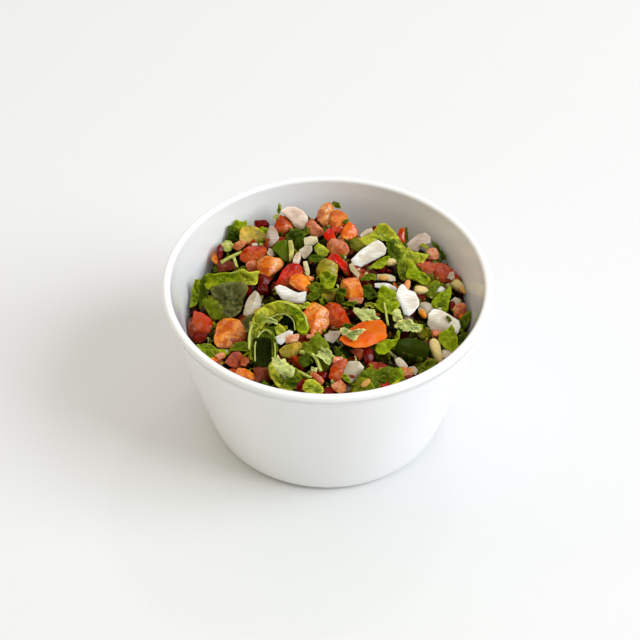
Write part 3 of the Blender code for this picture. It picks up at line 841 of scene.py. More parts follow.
@dataclass(frozen=True)
class BowlForm:
    """Sizes of the dish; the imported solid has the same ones.

    Attributes:
        height: from the table to the lip, metres, as are the others.
        rim: radius of its outside at the rim.
        base: radius of its outside at the table, before the corner is rounded.
        wall: its thickness.
        bulge: how far the wall bulges, as a share of its flare.
        band_height: of the fine band at the rim.
        band_step: how far that band stands out.
        outer_corner: radius of the outer lower corner.
        inner_corner: radius of the hollow's lower corner.
        floor: height of the hollow's floor.
        foot_width: of the ring that it stands on.
        foot_recess: height of the recess inside that ring.
    """

    height: float = 60.0 * MM
    rim: float = 55.0 * MM
    base: float = 41.6 * MM
    wall: float = 3.0 * MM
    bulge: float = 0.08
    band_height: float = 1.8 * MM
    band_step: float = 0.15 * MM
    outer_corner: float = 3.0 * MM
    inner_corner: float = 10.0 * MM
    floor: float = 4.5 * MM
    foot_width: float = 3.5 * MM
    foot_recess: float = 0.8 * MM

    def flare(self, z: Array | float) -> Array | float:
        """Radius of the wall's outside at height z, before its lower corner is rounded.

        Args:
            z: one height or many, metres.

        Returns:
            As many radii.
        """
        part = z / self.height
        share = (1.0 - self.bulge) * part + self.bulge * (1.0 - (1.0 - part) ** 2)
        return self.base + (self.rim - self.band_step - self.base) * share

    def inner(self, z: Array | float) -> Array | float:
        """Radius of the hollow at height z.

        Args:
            z: one height or many, metres.

        Returns:
            As many radii.
        """
        left = np.maximum(0.0, self.inner_corner - (z - self.floor))
        drawn_in = self.inner_corner - np.sqrt(np.maximum(0.0, self.inner_corner**2 - left**2))
        return self.flare(z) - self.wall - drawn_in

    def profile(self) -> list[tuple[float, float]]:
        """The turned outline, from the middle underneath round to the floor's middle.

        Returns:
            Radius and height of each ring.
        """
        foot = self.flare(0.0) - self.outer_corner
        rings = [(0.02 * MM, self.foot_recess), (foot - self.foot_width - 2.4 * MM, self.foot_recess)]
        for degrees in (0.0, 30.0, 60.0, 90.0):
            turn = math.radians(degrees)
            inward = self.foot_recess * (1.0 - math.sin(turn))
            rings.append((foot - self.foot_width - inward, self.foot_recess * math.cos(turn)))
        rings += [(foot - 0.75 * self.foot_width, 0.0), (foot - 0.25 * self.foot_width, 0.0)]
        for step in range(9):
            turn = math.radians(90.0 - 11.25 * step)
            height = self.outer_corner * (1.0 - math.sin(turn))
            left = self.outer_corner - height
            drawn = self.outer_corner - math.sqrt(max(0.0, self.outer_corner**2 - left**2))
            rings.append((self.flare(height) - drawn, height))
        band = self.height - self.band_height
        for step in range(1, 15):
            height = self.outer_corner + (band - self.band_step - self.outer_corner) * step / 14.0
            rings.append((self.flare(height), height))
        for step in range(1, 5):
            share = step / 4.0
            ease = share * share * (3.0 - 2.0 * share)
            start = self.flare(band - self.band_step)
            rings.append((start + (self.rim - start) * ease, band + self.band_step * (share - 1.0) * 1.0))
        lip = 0.5 * self.wall
        for step in range(13):
            turn = math.pi * step / 12.0
            rings.append((self.rim - lip + lip * math.cos(turn), self.height - lip + lip * math.sin(turn)))
        low = self.floor + self.inner_corner
        for step in range(1, 13):
            height = (self.height - lip) + (low - self.height + lip) * step / 12.0
            rings.append((float(self.inner(height)), height))
        for step in range(1, 9):
            height = self.floor + self.inner_corner * (1.0 - math.sin(math.radians(11.25 * step)))
            rings.append((float(self.inner(height)), height))
        rings += [(0.5 * rings[-1][0], self.floor), (0.02 * MM, self.floor)]
        return rings


@dataclass(frozen=True)
class Mound:
    """The heap's own level, to which its pieces are laid.

    Attributes:
        crown: its height over the bowl's middle, metres.
        reach: distance from the middle at which it has risen and fallen by what follows, metres.
        tilt_right: rise to the right.
        tilt_back: rise to the back.
        fall_sides: fall to both sides.
        fall_front: fall to the front and the back.
        twist: fall to the back on the right, and to the front on the left.
    """

    crown: float = 54.0 * MM
    reach: float = 49.0 * MM
    tilt_right: float = 1.6 * MM
    tilt_back: float = 4.9 * MM
    fall_sides: float = 11.5 * MM
    fall_front: float = 3.5 * MM
    twist: float = 2.0 * MM

    def height(self, x: Array | float, y: Array | float) -> Array | float:
        """Height of the level over a point.

        Args:
            x: one place or many.
            y: as many.

        Returns:
            As many heights.
        """
        u = x / self.reach
        v = y / self.reach
        slope = self.tilt_right * u + self.tilt_back * v
        return self.crown + slope - self.fall_sides * u * u - self.fall_front * v * v - self.twist * u * v

    def normal(self, x: float, y: float) -> Array:
        """The level's upward direction over a point.

        Args:
            x: the place.
            y: the place.

        Returns:
            The direction, one long.
        """
        step = 1.0 * MM
        rise_x = (self.height(x + step, y) - self.height(x - step, y)) / (2.0 * step)
        rise_y = (self.height(x, y + step) - self.height(x, y - step)) / (2.0 * step)
        return unit(np.array([-rise_x, -rise_y, 1.0]))


def unit(vector: Array) -> Array:
    """The vector's direction, one long."""
    return vector / np.linalg.norm(vector)


@dataclass(frozen=True)
class Picture:
    """Where the eye is and what it sees at each spot of the picture.

    Attributes:
        side: of the square picture, pixels.
        focal: focal length, pixels.
        distance: from the eye to what it aims at, metres.
        slope: how far it looks down, radians.
        aim: what is in the picture's middle.
        sensor: width of the camera's sensor, millimetres.
    """

    side: float = 640.0
    focal: float = 1465.0
    distance: float = 500.0 * MM
    slope: float = math.radians(43.9)
    aim: tuple[float, float, float] = (-2.46 * MM, 0.0, 40.45 * MM)
    sensor: float = 36.0

    @property
    def view(self) -> Array:
        """Direction in which the eye looks."""
        return np.array([0.0, math.cos(self.slope), -math.sin(self.slope)])

    @property
    def up(self) -> Array:
        """Direction that points up in the picture."""
        return np.cross(RIGHT, self.view)

    @property
    def eye(self) -> Array:
        """Place of the eye."""
        return np.array(self.aim) - self.distance * self.view

    @property
    def lens(self) -> float:
        """Focal length for the sensor, in millimetres."""
        return self.sensor * self.focal / self.side

    def ray(self, spot: tuple[float, float]) -> Array:
        """Direction of the line of sight through a spot."""
        across = (spot[0] - self.side / 2.0) * RIGHT
        return self.focal * self.view + across - (spot[1] - self.side / 2.0) * self.up


class Top:
    """The highest thing so far over each spot, on a fine grid."""

    def __init__(self, reach: float = 54.0 * MM, step: float = 0.6 * MM) -> None:
        """Starts with nothing.

        Args:
            reach: half the grid's side, metres.
            step: its spacing, metres.
        """
        self.reach = reach
        self.step = step
        self.side = 2 * math.ceil(reach / step) + 1
        self.level = np.zeros((self.side, self.side))

    def cells(self, x: Array | float, y: Array | float) -> tuple[Array, Array]:
        """The grid's indices at places."""
        near = [np.rint((np.asarray(value) + self.reach) / self.step).astype(int) for value in (x, y)]
        return np.clip(near[0], 1, self.side - 2), np.clip(near[1], 1, self.side - 2)

    def raise_to(self, points: Array) -> None:
        """Takes a piece's points in."""
        np.maximum.at(self.level, self.cells(points[:, 0], points[:, 1]), points[:, 2])

    def at(self, x: float, y: float) -> tuple[float, Array]:
        """How the top lies over a point.

        Args:
            x: the place.
            y: the place.

        Returns:
            Its height and its upward direction.
        """
        i, j = self.cells(x, y)
        patch = self.level[i - 1 : i + 2, j - 1 : j + 2]
        rise = np.array([patch[2].mean() - patch[0].mean(), patch[:, 2].mean() - patch[:, 0].mean()])
        slope = np.clip(rise / (2.0 * self.step), -1.2, 1.2)
        return float(np.median(patch)), unit(np.array([-slope[0], -slope[1], 1.0]))


@dataclass(frozen=True)
class Heap:
    """Places pieces on the heap's level and keeps them in the bowl.

    Attributes:
        bowl: what it lies in.
        mound: its own level.
        picture: from where it is seen.
        gap: between it and the bowl, metres.
        under_rim: how far it stays under the rim, metres.
        most_push: how far a piece may be moved in from the wall as one, metres.
        dusk: depth at which a piece has lost most of its light, metres.
        darkest: share of its light that it has lost there.
        shore: how far inside its far edge it starts to fall away, metres.
        slide: how steeply it falls there.
        top: its highest things so far.
    """

    bowl: BowlForm = BowlForm()
    mound: Mound = Mound()
    picture: Picture = Picture()
    gap: float = 0.3 * MM
    under_rim: float = 0.1 * MM
    most_push: float = 2.5 * MM
    dusk: float = 3.2 * MM
    darkest: float = 0.90
    shore: float = 2.5 * MM
    slide: float = 1.05
    top: Top = field(default_factory=Top)

    def sight_point(self, spot: tuple[float, float], lift: float) -> Array:
        """The point seen at a spot that lies `lift` above the heap's level.

        Args:
            spot: pixels from the picture's upper left corner.
            lift: metres.

        Returns:
            The point.
        """
        eye = self.picture.eye
        ray = self.picture.ray(spot)
        near = (eye[2] - 1.4 * self.bowl.height) / -ray[2]
        far = (eye[2] - 0.3 * self.bowl.height) / -ray[2]
        for _ in range(40):
            middle = 0.5 * (near + far)
            point = eye + middle * ray
            if point[2] > self.mound.height(point[0], point[1]) + lift:
                near = middle
            else:
                far = middle
        return eye + near * ray

    @cached_property
    def far_edge(self) -> tuple[Array, Array]:
        """The heap's far edge from right to left: angles, and distances from the middle."""
        x, y, _ = np.array([self.sight_point(spot, 0.0) for spot in reversed(spots_of(FAR_EDGE))]).T
        return np.arctan2(y, x), np.hypot(x, y)

    def level(self, x: Array | float, y: Array | float) -> Array | float:
        """The level's height over a point; it falls away beyond the heap's far edge.

        Args:
            x: one place or many.
            y: as many.

        Returns:
            As many heights.
        """
        edge = np.interp(np.arctan2(y, x), *self.far_edge, left=math.inf, right=math.inf)
        beyond = np.hypot(x, y) + self.shore - edge
        return self.mound.height(x, y) - self.slide * np.maximum(beyond, 0.0)

    def upward(self, point: Array, lean: float) -> Array:
        """The upward direction of a piece at a point: 0 lies on the heap, 1 faces the eye."""
        return unit(self.mound.normal(point[0], point[1]) * (1.0 - lean) - self.picture.view * lean)

    def seat(self, bit: Bit, sink: float) -> tuple[Array, Array]:
        """Where a bit lies and which way it is turned.

        Args:
            bit: the piece.
            sink: how far its middle is under its level, metres.

        Returns:
            Its middle, and its three axes as columns.
        """
        point = self.sight_point(bit.spot, bit.lift * MM - sink)
        slope = math.radians(bit.turn)
        along = math.cos(slope) * RIGHT + math.sin(slope) * self.picture.up
        return point, axes(self.upward(point, bit.lean), along)

    def drawn(self, piece: Drawn | DrawnLeaf) -> tuple[Array, Array, Array]:
        """Where a drawn piece lies, which way it is turned, and its edge in its own plane.

        Args:
            piece: the piece.

        Returns:
            Its middle, its three axes as columns, and its corners about that middle.
        """
        spots = np.array(spots_of(piece.outline))
        middle = 0.5 * spots.mean(axis=0) + 0.25 * (spots.min(axis=0) + spots.max(axis=0))
        point = self.sight_point(middle, piece.lift * MM)
        up = self.upward(point, piece.lean)
        turned = axes(up, RIGHT)
        eye = self.picture.eye
        rays = np.array([self.picture.ray(spot) for spot in spots])
        reach = (point - eye) @ up / (rays @ up)
        edge = (eye + rays * reach[:, None] - point) @ turned[:, :2]
        ahead = np.roll(edge, -1, axis=0)
        if (edge[:, 0] * ahead[:, 1] - edge[:, 1] * ahead[:, 0]).sum() < 0.0:
            edge = edge[::-1]
        return point, turned, edge

    def depth_shade(self, points: Array) -> Array:
        """How much of its colour each point keeps: painted shade, darker the deeper it lies under the level.

        Args:
            points: places, one row each.

        Returns:
            A factor for red, green and blue at each point.
        """
        sunk = (self.level(points[:, 0], points[:, 1]) - points[:, 2]) / self.dusk
        share = np.clip(sunk + 0.05, 0.0, 1.0)
        kept = 1.0 - self.darkest * share * share * (3.0 - 2.0 * share)
        return np.stack([kept, kept**1.25, kept**1.3], axis=1)

    def kept_in(self, points: Array) -> Array:
        """Points moved in from the wall as one, and what still reaches past it trimmed.

        Args:
            points: a piece's places in the row frame.

        Returns:
            The places inside the bowl.
        """
        flat = np.hypot(points[:, 0], points[:, 1])
        limit = self.bowl.inner(np.minimum(points[:, 2], self.bowl.height)) - self.gap
        excess = flat - limit
        worst = int(np.argmax(excess))
        moved = points.copy()
        if excess[worst] > 0.0:
            push = min(excess[worst], self.most_push) * moved[worst, :2] / flat[worst]
            moved[:, :2] -= push
            flat = np.hypot(moved[:, 0], moved[:, 1])
            shrink = np.minimum(1.0, limit / np.maximum(flat, 1e-9))
            moved[:, :2] *= shrink[:, None]
        moved[:, 2] = np.minimum(moved[:, 2], self.bowl.height - self.under_rim)
        return moved


def axes(up: Array, along: Array) -> Array:
    """Three axes as columns: Z is `up`, and X is as near `along` as it goes."""
    along = unit(along - along.dot(up) * up)
    return np.stack([along, np.cross(up, along), up], axis=1)


# ---- Joined meshes ----


# Share of its gloss that a black piece has, and what a bright one has on top of that.
LEAST_GLOSS = 0.10
GLOSS_OF_BRIGHT = 1.7


class Stock:
    """Gathers the many shapes of one kind of piece and joins them into one object."""

    def __init__(self, name: str, heap: Heap, crisp: float = 180.0) -> None:
        """Starts an empty stock.

        Args:
            name: the object's name.
            heap: what the shapes are placed on.
            crisp: angle above which an edge shows as one, degrees.
        """
        self.name = name
        self.heap = heap
        self.crisp = crisp
        self.count = 0
        self.parts: list[Shape] = []
        self.tints: list[Array] = []

    def add(self, shape: Shape, place: Array, turned: Array, tint: Array) -> None:
        """Puts a shape in the bowl.

        Args:
            shape: the shape about its own origin.
            place: where its origin goes.
            turned: its axes as columns.
            tint: its colour.
        """
        points = self.heap.kept_in(shape.points @ turned.T + place)
        faces = shape.faces + self.count
        self.heap.top.raise_to(points)
        self.parts.append(Shape(points, faces, shape.lie, shape.mark, shape.vein))
        # Painted shade: a point's colour is darkened the deeper it lies under the heap's level, and the gloss
        # kept in the alpha is dimmed with it.
        kept = self.heap.depth_shade(points)
        bright = np.max(tint, axis=-1, keepdims=True)
        gloss = kept[:, :1] * np.minimum(1.0, LEAST_GLOSS + GLOSS_OF_BRIGHT * bright)
        self.tints.append(np.concatenate([kept * tint, gloss], axis=1))
        self.count += len(points)

    def make(self, material: bpy.types.Material) -> bpy.types.Object:
        """Joins what was gathered.

        Args:
            material: its finish.

        Returns:
            The object, in the scene.
        """
        mesh = bpy.data.meshes.new(self.name)
        points = np.concatenate([part.points for part in self.parts])
        faces = np.concatenate([part.faces for part in self.parts])
        triangle = faces[:, 2] == faces[:, 3]
        rows = [row[:3] if short else row for row, short in zip(faces.tolist(), triangle)]
        mesh.from_pydata(points.tolist(), [], rows)
        self.write(mesh, "tint", self.tints)
        self.write(mesh, "mark", [part.mark for part in self.parts])
        self.write(mesh, "lie", [part.lie for part in self.parts])
        self.write(mesh, "vein", [part.vein for part in self.parts])
        mesh.materials.append(material)
        mesh.shade_smooth()
        mesh.set_sharp_from_angle(angle=math.radians(self.crisp))
        mesh.update()
        made = bpy.data.objects.new(self.name, mesh)
        bpy.context.scene.collection.objects.link(made)
        return made

    @staticmethod
    def write(mesh: bpy.types.Mesh, name: str, parts: list[Array]) -> None:
        """Stores a row for each point of a mesh: a colour if it has four numbers, or else a vector.

        Args:
            mesh: the mesh.
            name: under which it is stored.
            parts: the rows of each shape in turn.
        """
        rows = np.concatenate(parts)
        kind, key = ("FLOAT_COLOR", "color") if rows.shape[1] == 4 else ("FLOAT_VECTOR", "vector")
        attribute = mesh.attributes.new(name, kind, "POINT")
        attribute.data.foreach_set(key, np.ascontiguousarray(rows, np.float32).ravel())


# ---- Finishes ----


class Nodes:
    """A node tree, with short ways to add and join its nodes."""

    def __init__(self, tree: bpy.types.NodeTree) -> None:
        """Keeps the tree."""
        self.tree = tree

    def feed(self, socket: Socket, value: float | tuple | Socket) -> None:
        """Joins a socket to another one, or gives it a value.

        Args:
            socket: the socket.
            value: another socket, a number, a vector or a colour.
        """
        if isinstance(value, bpy.types.NodeSocket):
            self.tree.links.new(value, socket)
        else:
            socket.default_value = (*value, 1.0) if socket.type == "RGBA" else value

    def add(self, kind: str, output: int | str, inputs: dict[int | str, object], **settings: str) -> Socket:
        """Adds a node.

        Args:
            kind: its type.
            output: the one of its outputs that is wanted.
            inputs: what its inputs get, by name or number.
            settings: its own settings.

        Returns:
            That output.
        """
        node = self.tree.nodes.new(kind)
        for name, value in settings.items():
            setattr(node, name, value)
        for name, value in inputs.items():
            self.feed(node.inputs[name], value)
        return node.outputs[output]

    def attribute(self, name: str, output: str = "Color") -> Socket:
        """What the mesh stores under a name."""
        return self.add("ShaderNodeAttribute", output, {}, attribute_name=name)

    def parts(self, colour: Socket) -> list[Socket]:
        """The three channels of a colour.

        Args:
            colour: the colour.

        Returns:
            Its channels.
        """
        node = self.tree.nodes.new("ShaderNodeSeparateColor")
        self.feed(node.inputs["Color"], colour)
        return list(node.outputs)

    def scaled(self, vector: Socket, scale: tuple[float, float, float]) -> Socket:
        """A place with its three sides scaled."""
        return self.add("ShaderNodeVectorMath", "Vector", {0: vector, 1: scale}, operation="MULTIPLY")

    def noise(self, place: Socket, scale: float, detail: float = 2.0, warp: float = 0.0) -> Socket:
        """Cloudy noise from 0 to 1."""
        inputs = {"Vector": place, "Scale": scale, "Detail": detail, "Distortion": warp}
        return self.add("ShaderNodeTexNoise", "Fac", inputs)

    def cells(self, place: Socket, scale: float) -> Socket:
        """Distance to the nearest cell's middle."""
        return self.add("ShaderNodeTexVoronoi", "Distance", {"Vector": place, "Scale": scale})

    def span(self, value: Socket, low: float, high: float, to: tuple[float, float] = (0.0, 1.0)) -> Socket:
        """A value eased from one span into another and held at its ends."""
        inputs = {"Value": value, "From Min": low, "From Max": high, "To Min": to[0], "To Max": to[1]}
        return self.add("ShaderNodeMapRange", "Result", inputs, interpolation_type="SMOOTHSTEP")

    def sum(self, operation: str, a: float | Socket, b: float | Socket = 0.0) -> Socket:
        """One step of arithmetic."""
        return self.add("ShaderNodeMath", 0, {0: a, 1: b}, operation=operation)

    def product(self, a: float | Socket, b: float | Socket) -> Socket:
        """Two numbers multiplied."""
        return self.sum("MULTIPLY", a, b)

    def mix(self, share: float | Socket, a: tuple | Socket, b: tuple | Socket, way: str = "MIX") -> Socket:
        """Two colours mixed by a share."""
        return self.add("ShaderNodeMix", 2, {0: share, 6: a, 7: b}, data_type="RGBA", blend_type=way)

    def dyed(self, a: Socket, b: tuple | Socket) -> Socket:
        """One colour multiplied by another."""
        return self.mix(1.0, a, b, "MULTIPLY")

    def relief(self, height: Socket, depth: float, strength: float = 1.0) -> Socket:
        """A normal bent by a height.

        Args:
            height: from 0 to 1.
            depth: what 1 stands for, metres.
            strength: share of it that shows.

        Returns:
            The normal.
        """
        inputs = {"Strength": strength, "Distance": depth, "Height": height}
        return self.add("ShaderNodeBump", "Normal", inputs)


class Shader(Nodes):
    """A material's nodes round one Principled shader."""

    def __init__(self, name: str) -> None:
        """Makes a material that holds only that shader.

        Args:
            name: the material's name.
        """
        self.material = bpy.data.materials.new(name)
        self.material.use_nodes = True
        super().__init__(self.material.node_tree)
        self.surface = self.tree.nodes["Principled BSDF"]

    def gloss(self) -> Socket:
        """How glossy the mesh says a point is; deep in the heap it is dimmed with the painted shade."""
        return self.attribute("tint", "Alpha")

    def set(self, **values: float | tuple | Socket) -> None:
        """Sets the shader's sockets; underscores stand for the spaces of their names."""
        for name, value in values.items():
            self.feed(self.surface.inputs[name.replace("_", " ")], value)


@dataclass(frozen=True)
class Finish:
    """How one kind of surface looks."""

    name: str

    def material(self) -> bpy.types.Material:
        """Makes the finish.

        Returns:
            It as a material.
        """
        shader = Shader(self.name)
        self.paint(shader)
        return shader.material

    def paint(self, s: Shader) -> None:
        """Sets up its colour, gloss and relief.

        Args:
            s: the material's nodes.
        """
        raise NotImplementedError


@dataclass(frozen=True)
class WetFlesh(Finish):
    """Pulpy, half-clear wet flesh with a smooth, glossy skin on one side.

    Attributes:
        pulp: the piece's own colour times this makes its pulp.
        fibre: the same for its pale fibres and grains.
        deep: the same for its deeper, clearer parts.
        skin_depth: green of the skin's darker parts, as a share.
        scatter: how far red, green and blue spread in it.
        scatter_scale: metres.
        scatter_weight: share of the light that enters it.
    """

    pulp: tuple[float, float, float]
    fibre: tuple[float, float, float]
    deep: tuple[float, float, float] = (0.62, 0.34, 0.3)
    skin_depth: float = 0.62
    scatter: tuple[float, float, float] = (1.0, 0.26, 0.10)
    scatter_scale: float = 0.7 * MM
    scatter_weight: float = 0.4

    def paint(self, s: Shader) -> None:
        """Sets up its colour, gloss and relief.

        Args:
            s: the material's nodes.
        """
        lie = s.attribute("lie", "Vector")
        skin, _, along = s.parts(s.attribute("mark"))
        tint = s.attribute("tint")
        flesh = s.sum("SUBTRACT", 1.0, skin)
        grains = s.cells(lie, 1.35)
        cloud = s.noise(lie, 0.22, 1.5, 0.6)
        fine = s.noise(lie, 2.0, 2.0)
        blots = s.noise(lie, 0.8, 2.0, 0.5)
        broad = s.noise(lie, 0.16, 2.0, 0.5)
        wet = s.span(s.noise(lie, 0.55, 2.0, 0.4), 0.42, 0.62)
        ripe = s.sum("ADD", broad, s.product(along, 0.25))
        pulpy = s.product(s.span(ripe, 0.48, 0.74), flesh)
        colour = s.mix(pulpy, tint, s.dyed(tint, self.pulp))
        fibre = s.dyed(colour, self.fibre)
        near_grain = s.span(grains, 0.34, 0.12)
        spots = s.product(near_grain, s.sum("ADD", s.product(pulpy, 0.60), 0.35))
        colour = s.mix(s.product(spots, flesh), colour, fibre)
        colour = s.mix(s.product(s.span(cloud, 0.54, 0.68), 0.5), colour, fibre)
        colour = s.mix(s.product(s.span(blots, 0.54, 0.64, (0.0, 0.6)), flesh), colour, fibre)
        deep = s.dyed(colour, self.deep)
        colour = s.mix(s.span(cloud, 0.50, 0.32, (0.0, 0.85)), colour, deep)
        colour = s.mix(s.product(s.span(blots, 0.47, 0.36, (0.0, 0.6)), flesh), colour, deep)
        skinned = s.dyed(tint, (0.95, self.skin_depth, 0.4))
        colour = s.mix(skin, colour, s.mix(s.span(cloud, 0.4, 0.6), skinned, tint))
        beads = s.span(grains, 0.08, 0.60, (1.0, 0.0))
        height = s.sum("ADD", s.product(beads, 0.8), s.product(fine, 0.7))
        height = s.product(height, s.span(skin, 0.0, 1.0, (1.0, 0.10)))
        s.set(
            Base_Color=colour,
            Roughness=s.span(fine, 0.3, 0.7, (0.12, 0.30)),
            Specular_IOR_Level=s.product(s.gloss(), s.span(wet, 0.0, 1.0, (0.03, 0.42))),
            Subsurface_Weight=self.scatter_weight,
            Subsurface_Radius=self.scatter,
            Subsurface_Scale=self.scatter_scale,
            Coat_Weight=s.product(s.gloss(), s.span(wet, 0.0, 1.0, (0.0, 0.35))),
            Coat_Roughness=0.04,
            Normal=s.relief(height, 0.16 * MM, 0.8),
        )


TOMATO_FLESH = WetFlesh("tomato_flesh", pulp=(1.02, 1.30, 1.8), fibre=(1.07, 1.75, 2.5))
GREEN_FLESH = WetFlesh(
    "green_flesh",
    pulp=(1.25, 1.12, 1.6),
    fibre=(1.5, 1.3, 2.4),
    deep=(0.55, 0.62, 0.4),
    skin_depth=0.95,
    scatter=(0.7, 1.0, 0.2),
    scatter_weight=0.5,
)


@dataclass(frozen=True)
class OnionFlesh(Finish):
    """Crisp, half-clear onion with fine ribs along it, and a painted light along its rim."""

    scatter_scale: float = 3.2 * MM

    def paint(self, s: Shader) -> None:
        """Sets up its colour, gloss and relief.

        Args:
            s: the material's nodes.
        """
        lie = s.attribute("lie", "Vector")
        _, rim, _ = s.parts(s.attribute("mark"))
        tint = s.attribute("tint")
        ribs = s.noise(s.scaled(lie, (0.25, 2.6, 1.0)), 1.0, 2.0, 0.2)
        cloud = s.noise(lie, 0.20, 1.5, 0.4)
        clear = s.dyed(tint, (0.72, 0.66, 0.58))
        colour = s.mix(s.span(cloud, 0.35, 0.65), clear, tint)
        bright = s.dyed(colour, (1.14, 1.16, 1.18))
        colour = s.mix(s.span(ribs, 0.52, 0.66, (0.0, 0.8)), colour, bright)
        colour = s.mix(s.span(ribs, 0.46, 0.36, (0.0, 0.7)), colour, clear)
        # Painted light along the rim, as if light glowed through its edge.
        colour = s.mix(s.product(rim, 0.35), colour, bright)
        s.set(
            Base_Color=colour,
            Roughness=s.span(cloud, 0.3, 0.7, (0.08, 0.24)),
            Specular_IOR_Level=s.product(s.gloss(), 0.32),
            Subsurface_Weight=0.85,
            Subsurface_Radius=(1.0, 0.85, 0.65),
            Subsurface_Scale=self.scatter_scale,
            Coat_Weight=0.1,
            Coat_Roughness=0.06,
            Normal=s.relief(s.sum("ADD", ribs, cloud), 0.06 * MM, 0.7),
        )


ONION_FLESH = OnionFlesh("onion_flesh")


@dataclass(frozen=True)
class LeafFinish(Finish):
    """A fresh wet leaf: pale veins, darker flesh between them, uneven gloss; painted shade in cloudy patches,
    painted highlights in fine ones and a painted light along its rim.
    """

    # The first lightens the veins, and the rim as a painted light; the second darkens cloudy patches as
    # painted shade.
    vein: tuple[float, float, float] = (2.0, 1.75, 1.7)
    patch_shade: tuple[float, float, float] = (0.25, 0.37, 0.30)

    def paint(self, s: Shader) -> None:
        """Sets up its colour, gloss and relief.

        Args:
            s: the material's nodes.
        """
        lie = s.attribute("lie", "Vector")
        _, rim, _ = s.parts(s.attribute("mark"))
        tint = s.attribute("tint")
        turn, away, _ = s.parts(s.attribute("vein"))
        off = s.sum("ABSOLUTE", s.sum("SUBTRACT", s.sum("FRACT", s.sum("ADD", turn, 0.5)), 0.5))
        width = s.sum("DIVIDE", 0.34, s.sum("ADD", away, 1.5))
        main = s.span(s.sum("DIVIDE", off, width), 0.35, 1.3, (1.0, 0.0))
        ladder = s.sum("FRACT", s.sum("SUBTRACT", s.product(away, 0.62), s.product(off, 2.2)))
        side = s.span(s.sum("ABSOLUTE", s.sum("SUBTRACT", ladder, 0.5)), 0.02, 0.14, (0.55, 0.0))
        veins = s.sum("MAXIMUM", main, side)
        cloud = s.noise(lie, 0.14, 1.5, 0.6)
        fine = s.noise(lie, 0.9, 2.0, 0.3)
        # Painted shade: cloudy patches darkened by the second colour.
        shade = s.mix(s.span(cloud, 0.36, 0.60), s.dyed(tint, self.patch_shade), tint)
        warm = s.dyed(tint, (2.0, 1.65, 1.4))
        # Painted highlights: fine patches lightened and warmed.
        shade = s.mix(s.span(fine, 0.48, 0.66, (0.0, 0.65)), shade, warm)
        pale_vein_and_rim_light = s.dyed(tint, self.vein)
        colour = s.mix(s.product(veins, 0.55), shade, pale_vein_and_rim_light)
        # Painted light along the rim, as if it glowed with light from behind.
        colour = s.mix(s.product(rim, 0.75), colour, pale_vein_and_rim_light)
        height = s.sum("SUBTRACT", s.product(fine, 0.5), s.product(veins, 0.8))
        s.set(
            Base_Color=colour,
            Roughness=s.span(cloud, 0.3, 0.7, (0.26, 0.42)),
            Specular_IOR_Level=s.product(s.gloss(), s.span(fine, 0.42, 0.62, (0.02, 0.28))),
            Subsurface_Weight=0.35,
            Subsurface_Radius=(0.6, 1.0, 0.08),
            Subsurface_Scale=0.9 * MM,
            Coat_Weight=s.product(s.gloss(), 0.08),
            Coat_Roughness=0.08,
            Normal=s.relief(height, 0.13 * MM, 0.9),
        )


@dataclass(frozen=True)
class StalkFinish(Finish):
    """Juicy light green stalk with lengthwise streaks."""

    def paint(self, s: Shader) -> None:
        """Sets up its colour, gloss and relief.

        Args:
            s: the material's nodes.
        """
        lie = s.attribute("lie", "Vector")
        tint = s.attribute("tint")
        streaks = s.noise(s.scaled(lie, (0.25, 2.2, 1.0)), 1.0, 2.0)
        colour = s.mix(s.span(streaks, 0.42, 0.62), tint, (0.62, 0.66, 0.24))
        s.set(
            Base_Color=colour,
            Roughness=s.span(streaks, 0.3, 0.7, (0.18, 0.32)),
            Specular_IOR_Level=0.15,
            Subsurface_Weight=0.45,
            Subsurface_Radius=(0.7, 1.0, 0.3),
            Subsurface_Scale=1.0 * MM,
            Coat_Weight=0.08,
            Coat_Roughness=0.12,
            Normal=s.relief(streaks, 0.08 * MM, 0.5),
        )


@dataclass(frozen=True)
class SeedCoat(Finish):
    """Pale wet seed with a fine fuzz."""

    def paint(self, s: Shader) -> None:
        """Sets up its colour, gloss and relief.

        Args:
            s: the material's nodes.
        """
        lie = s.attribute("lie", "Vector")
        _, rim, _ = s.parts(s.attribute("mark"))
        tint = s.attribute("tint")
        fuzz = s.noise(lie, 2.8, 3.0)
        tan = s.dyed(tint, (0.84, 0.72, 0.52))
        colour = s.mix(s.span(fuzz, 0.40, 0.66), tan, tint)
        colour = s.mix(s.product(rim, 0.4), colour, tan)
        s.set(
            Base_Color=colour,
            Roughness=s.span(fuzz, 0.3, 0.7, (0.20, 0.36)),
            Specular_IOR_Level=0.2,
            Subsurface_Weight=0.5,
            Subsurface_Radius=(1.0, 0.7, 0.35),
            Subsurface_Scale=1.2 * MM,
            Coat_Weight=0.1,
            Coat_Roughness=0.10,
            Normal=s.relief(fuzz, 0.10 * MM, 0.6),
        )


@dataclass(frozen=True)
class Jelly(Finish):
    """Clear, faintly amber jelly round a seed."""

    def paint(self, s: Shader) -> None:
        """Sets up its colour, gloss and relief.

        Args:
            s: the material's nodes.
        """
        lie = s.attribute("lie", "Vector")
        cloud = s.noise(lie, 0.6, 2.0)
        s.set(
            Base_Color=s.mix(cloud, (0.62, 0.50, 0.30), (0.86, 0.80, 0.62)),
            Roughness=s.span(cloud, 0.3, 0.7, (0.08, 0.20)),
            IOR=1.34,
            Transmission_Weight=0.55,
            Normal=s.relief(cloud, 0.15 * MM, 0.4),
        )


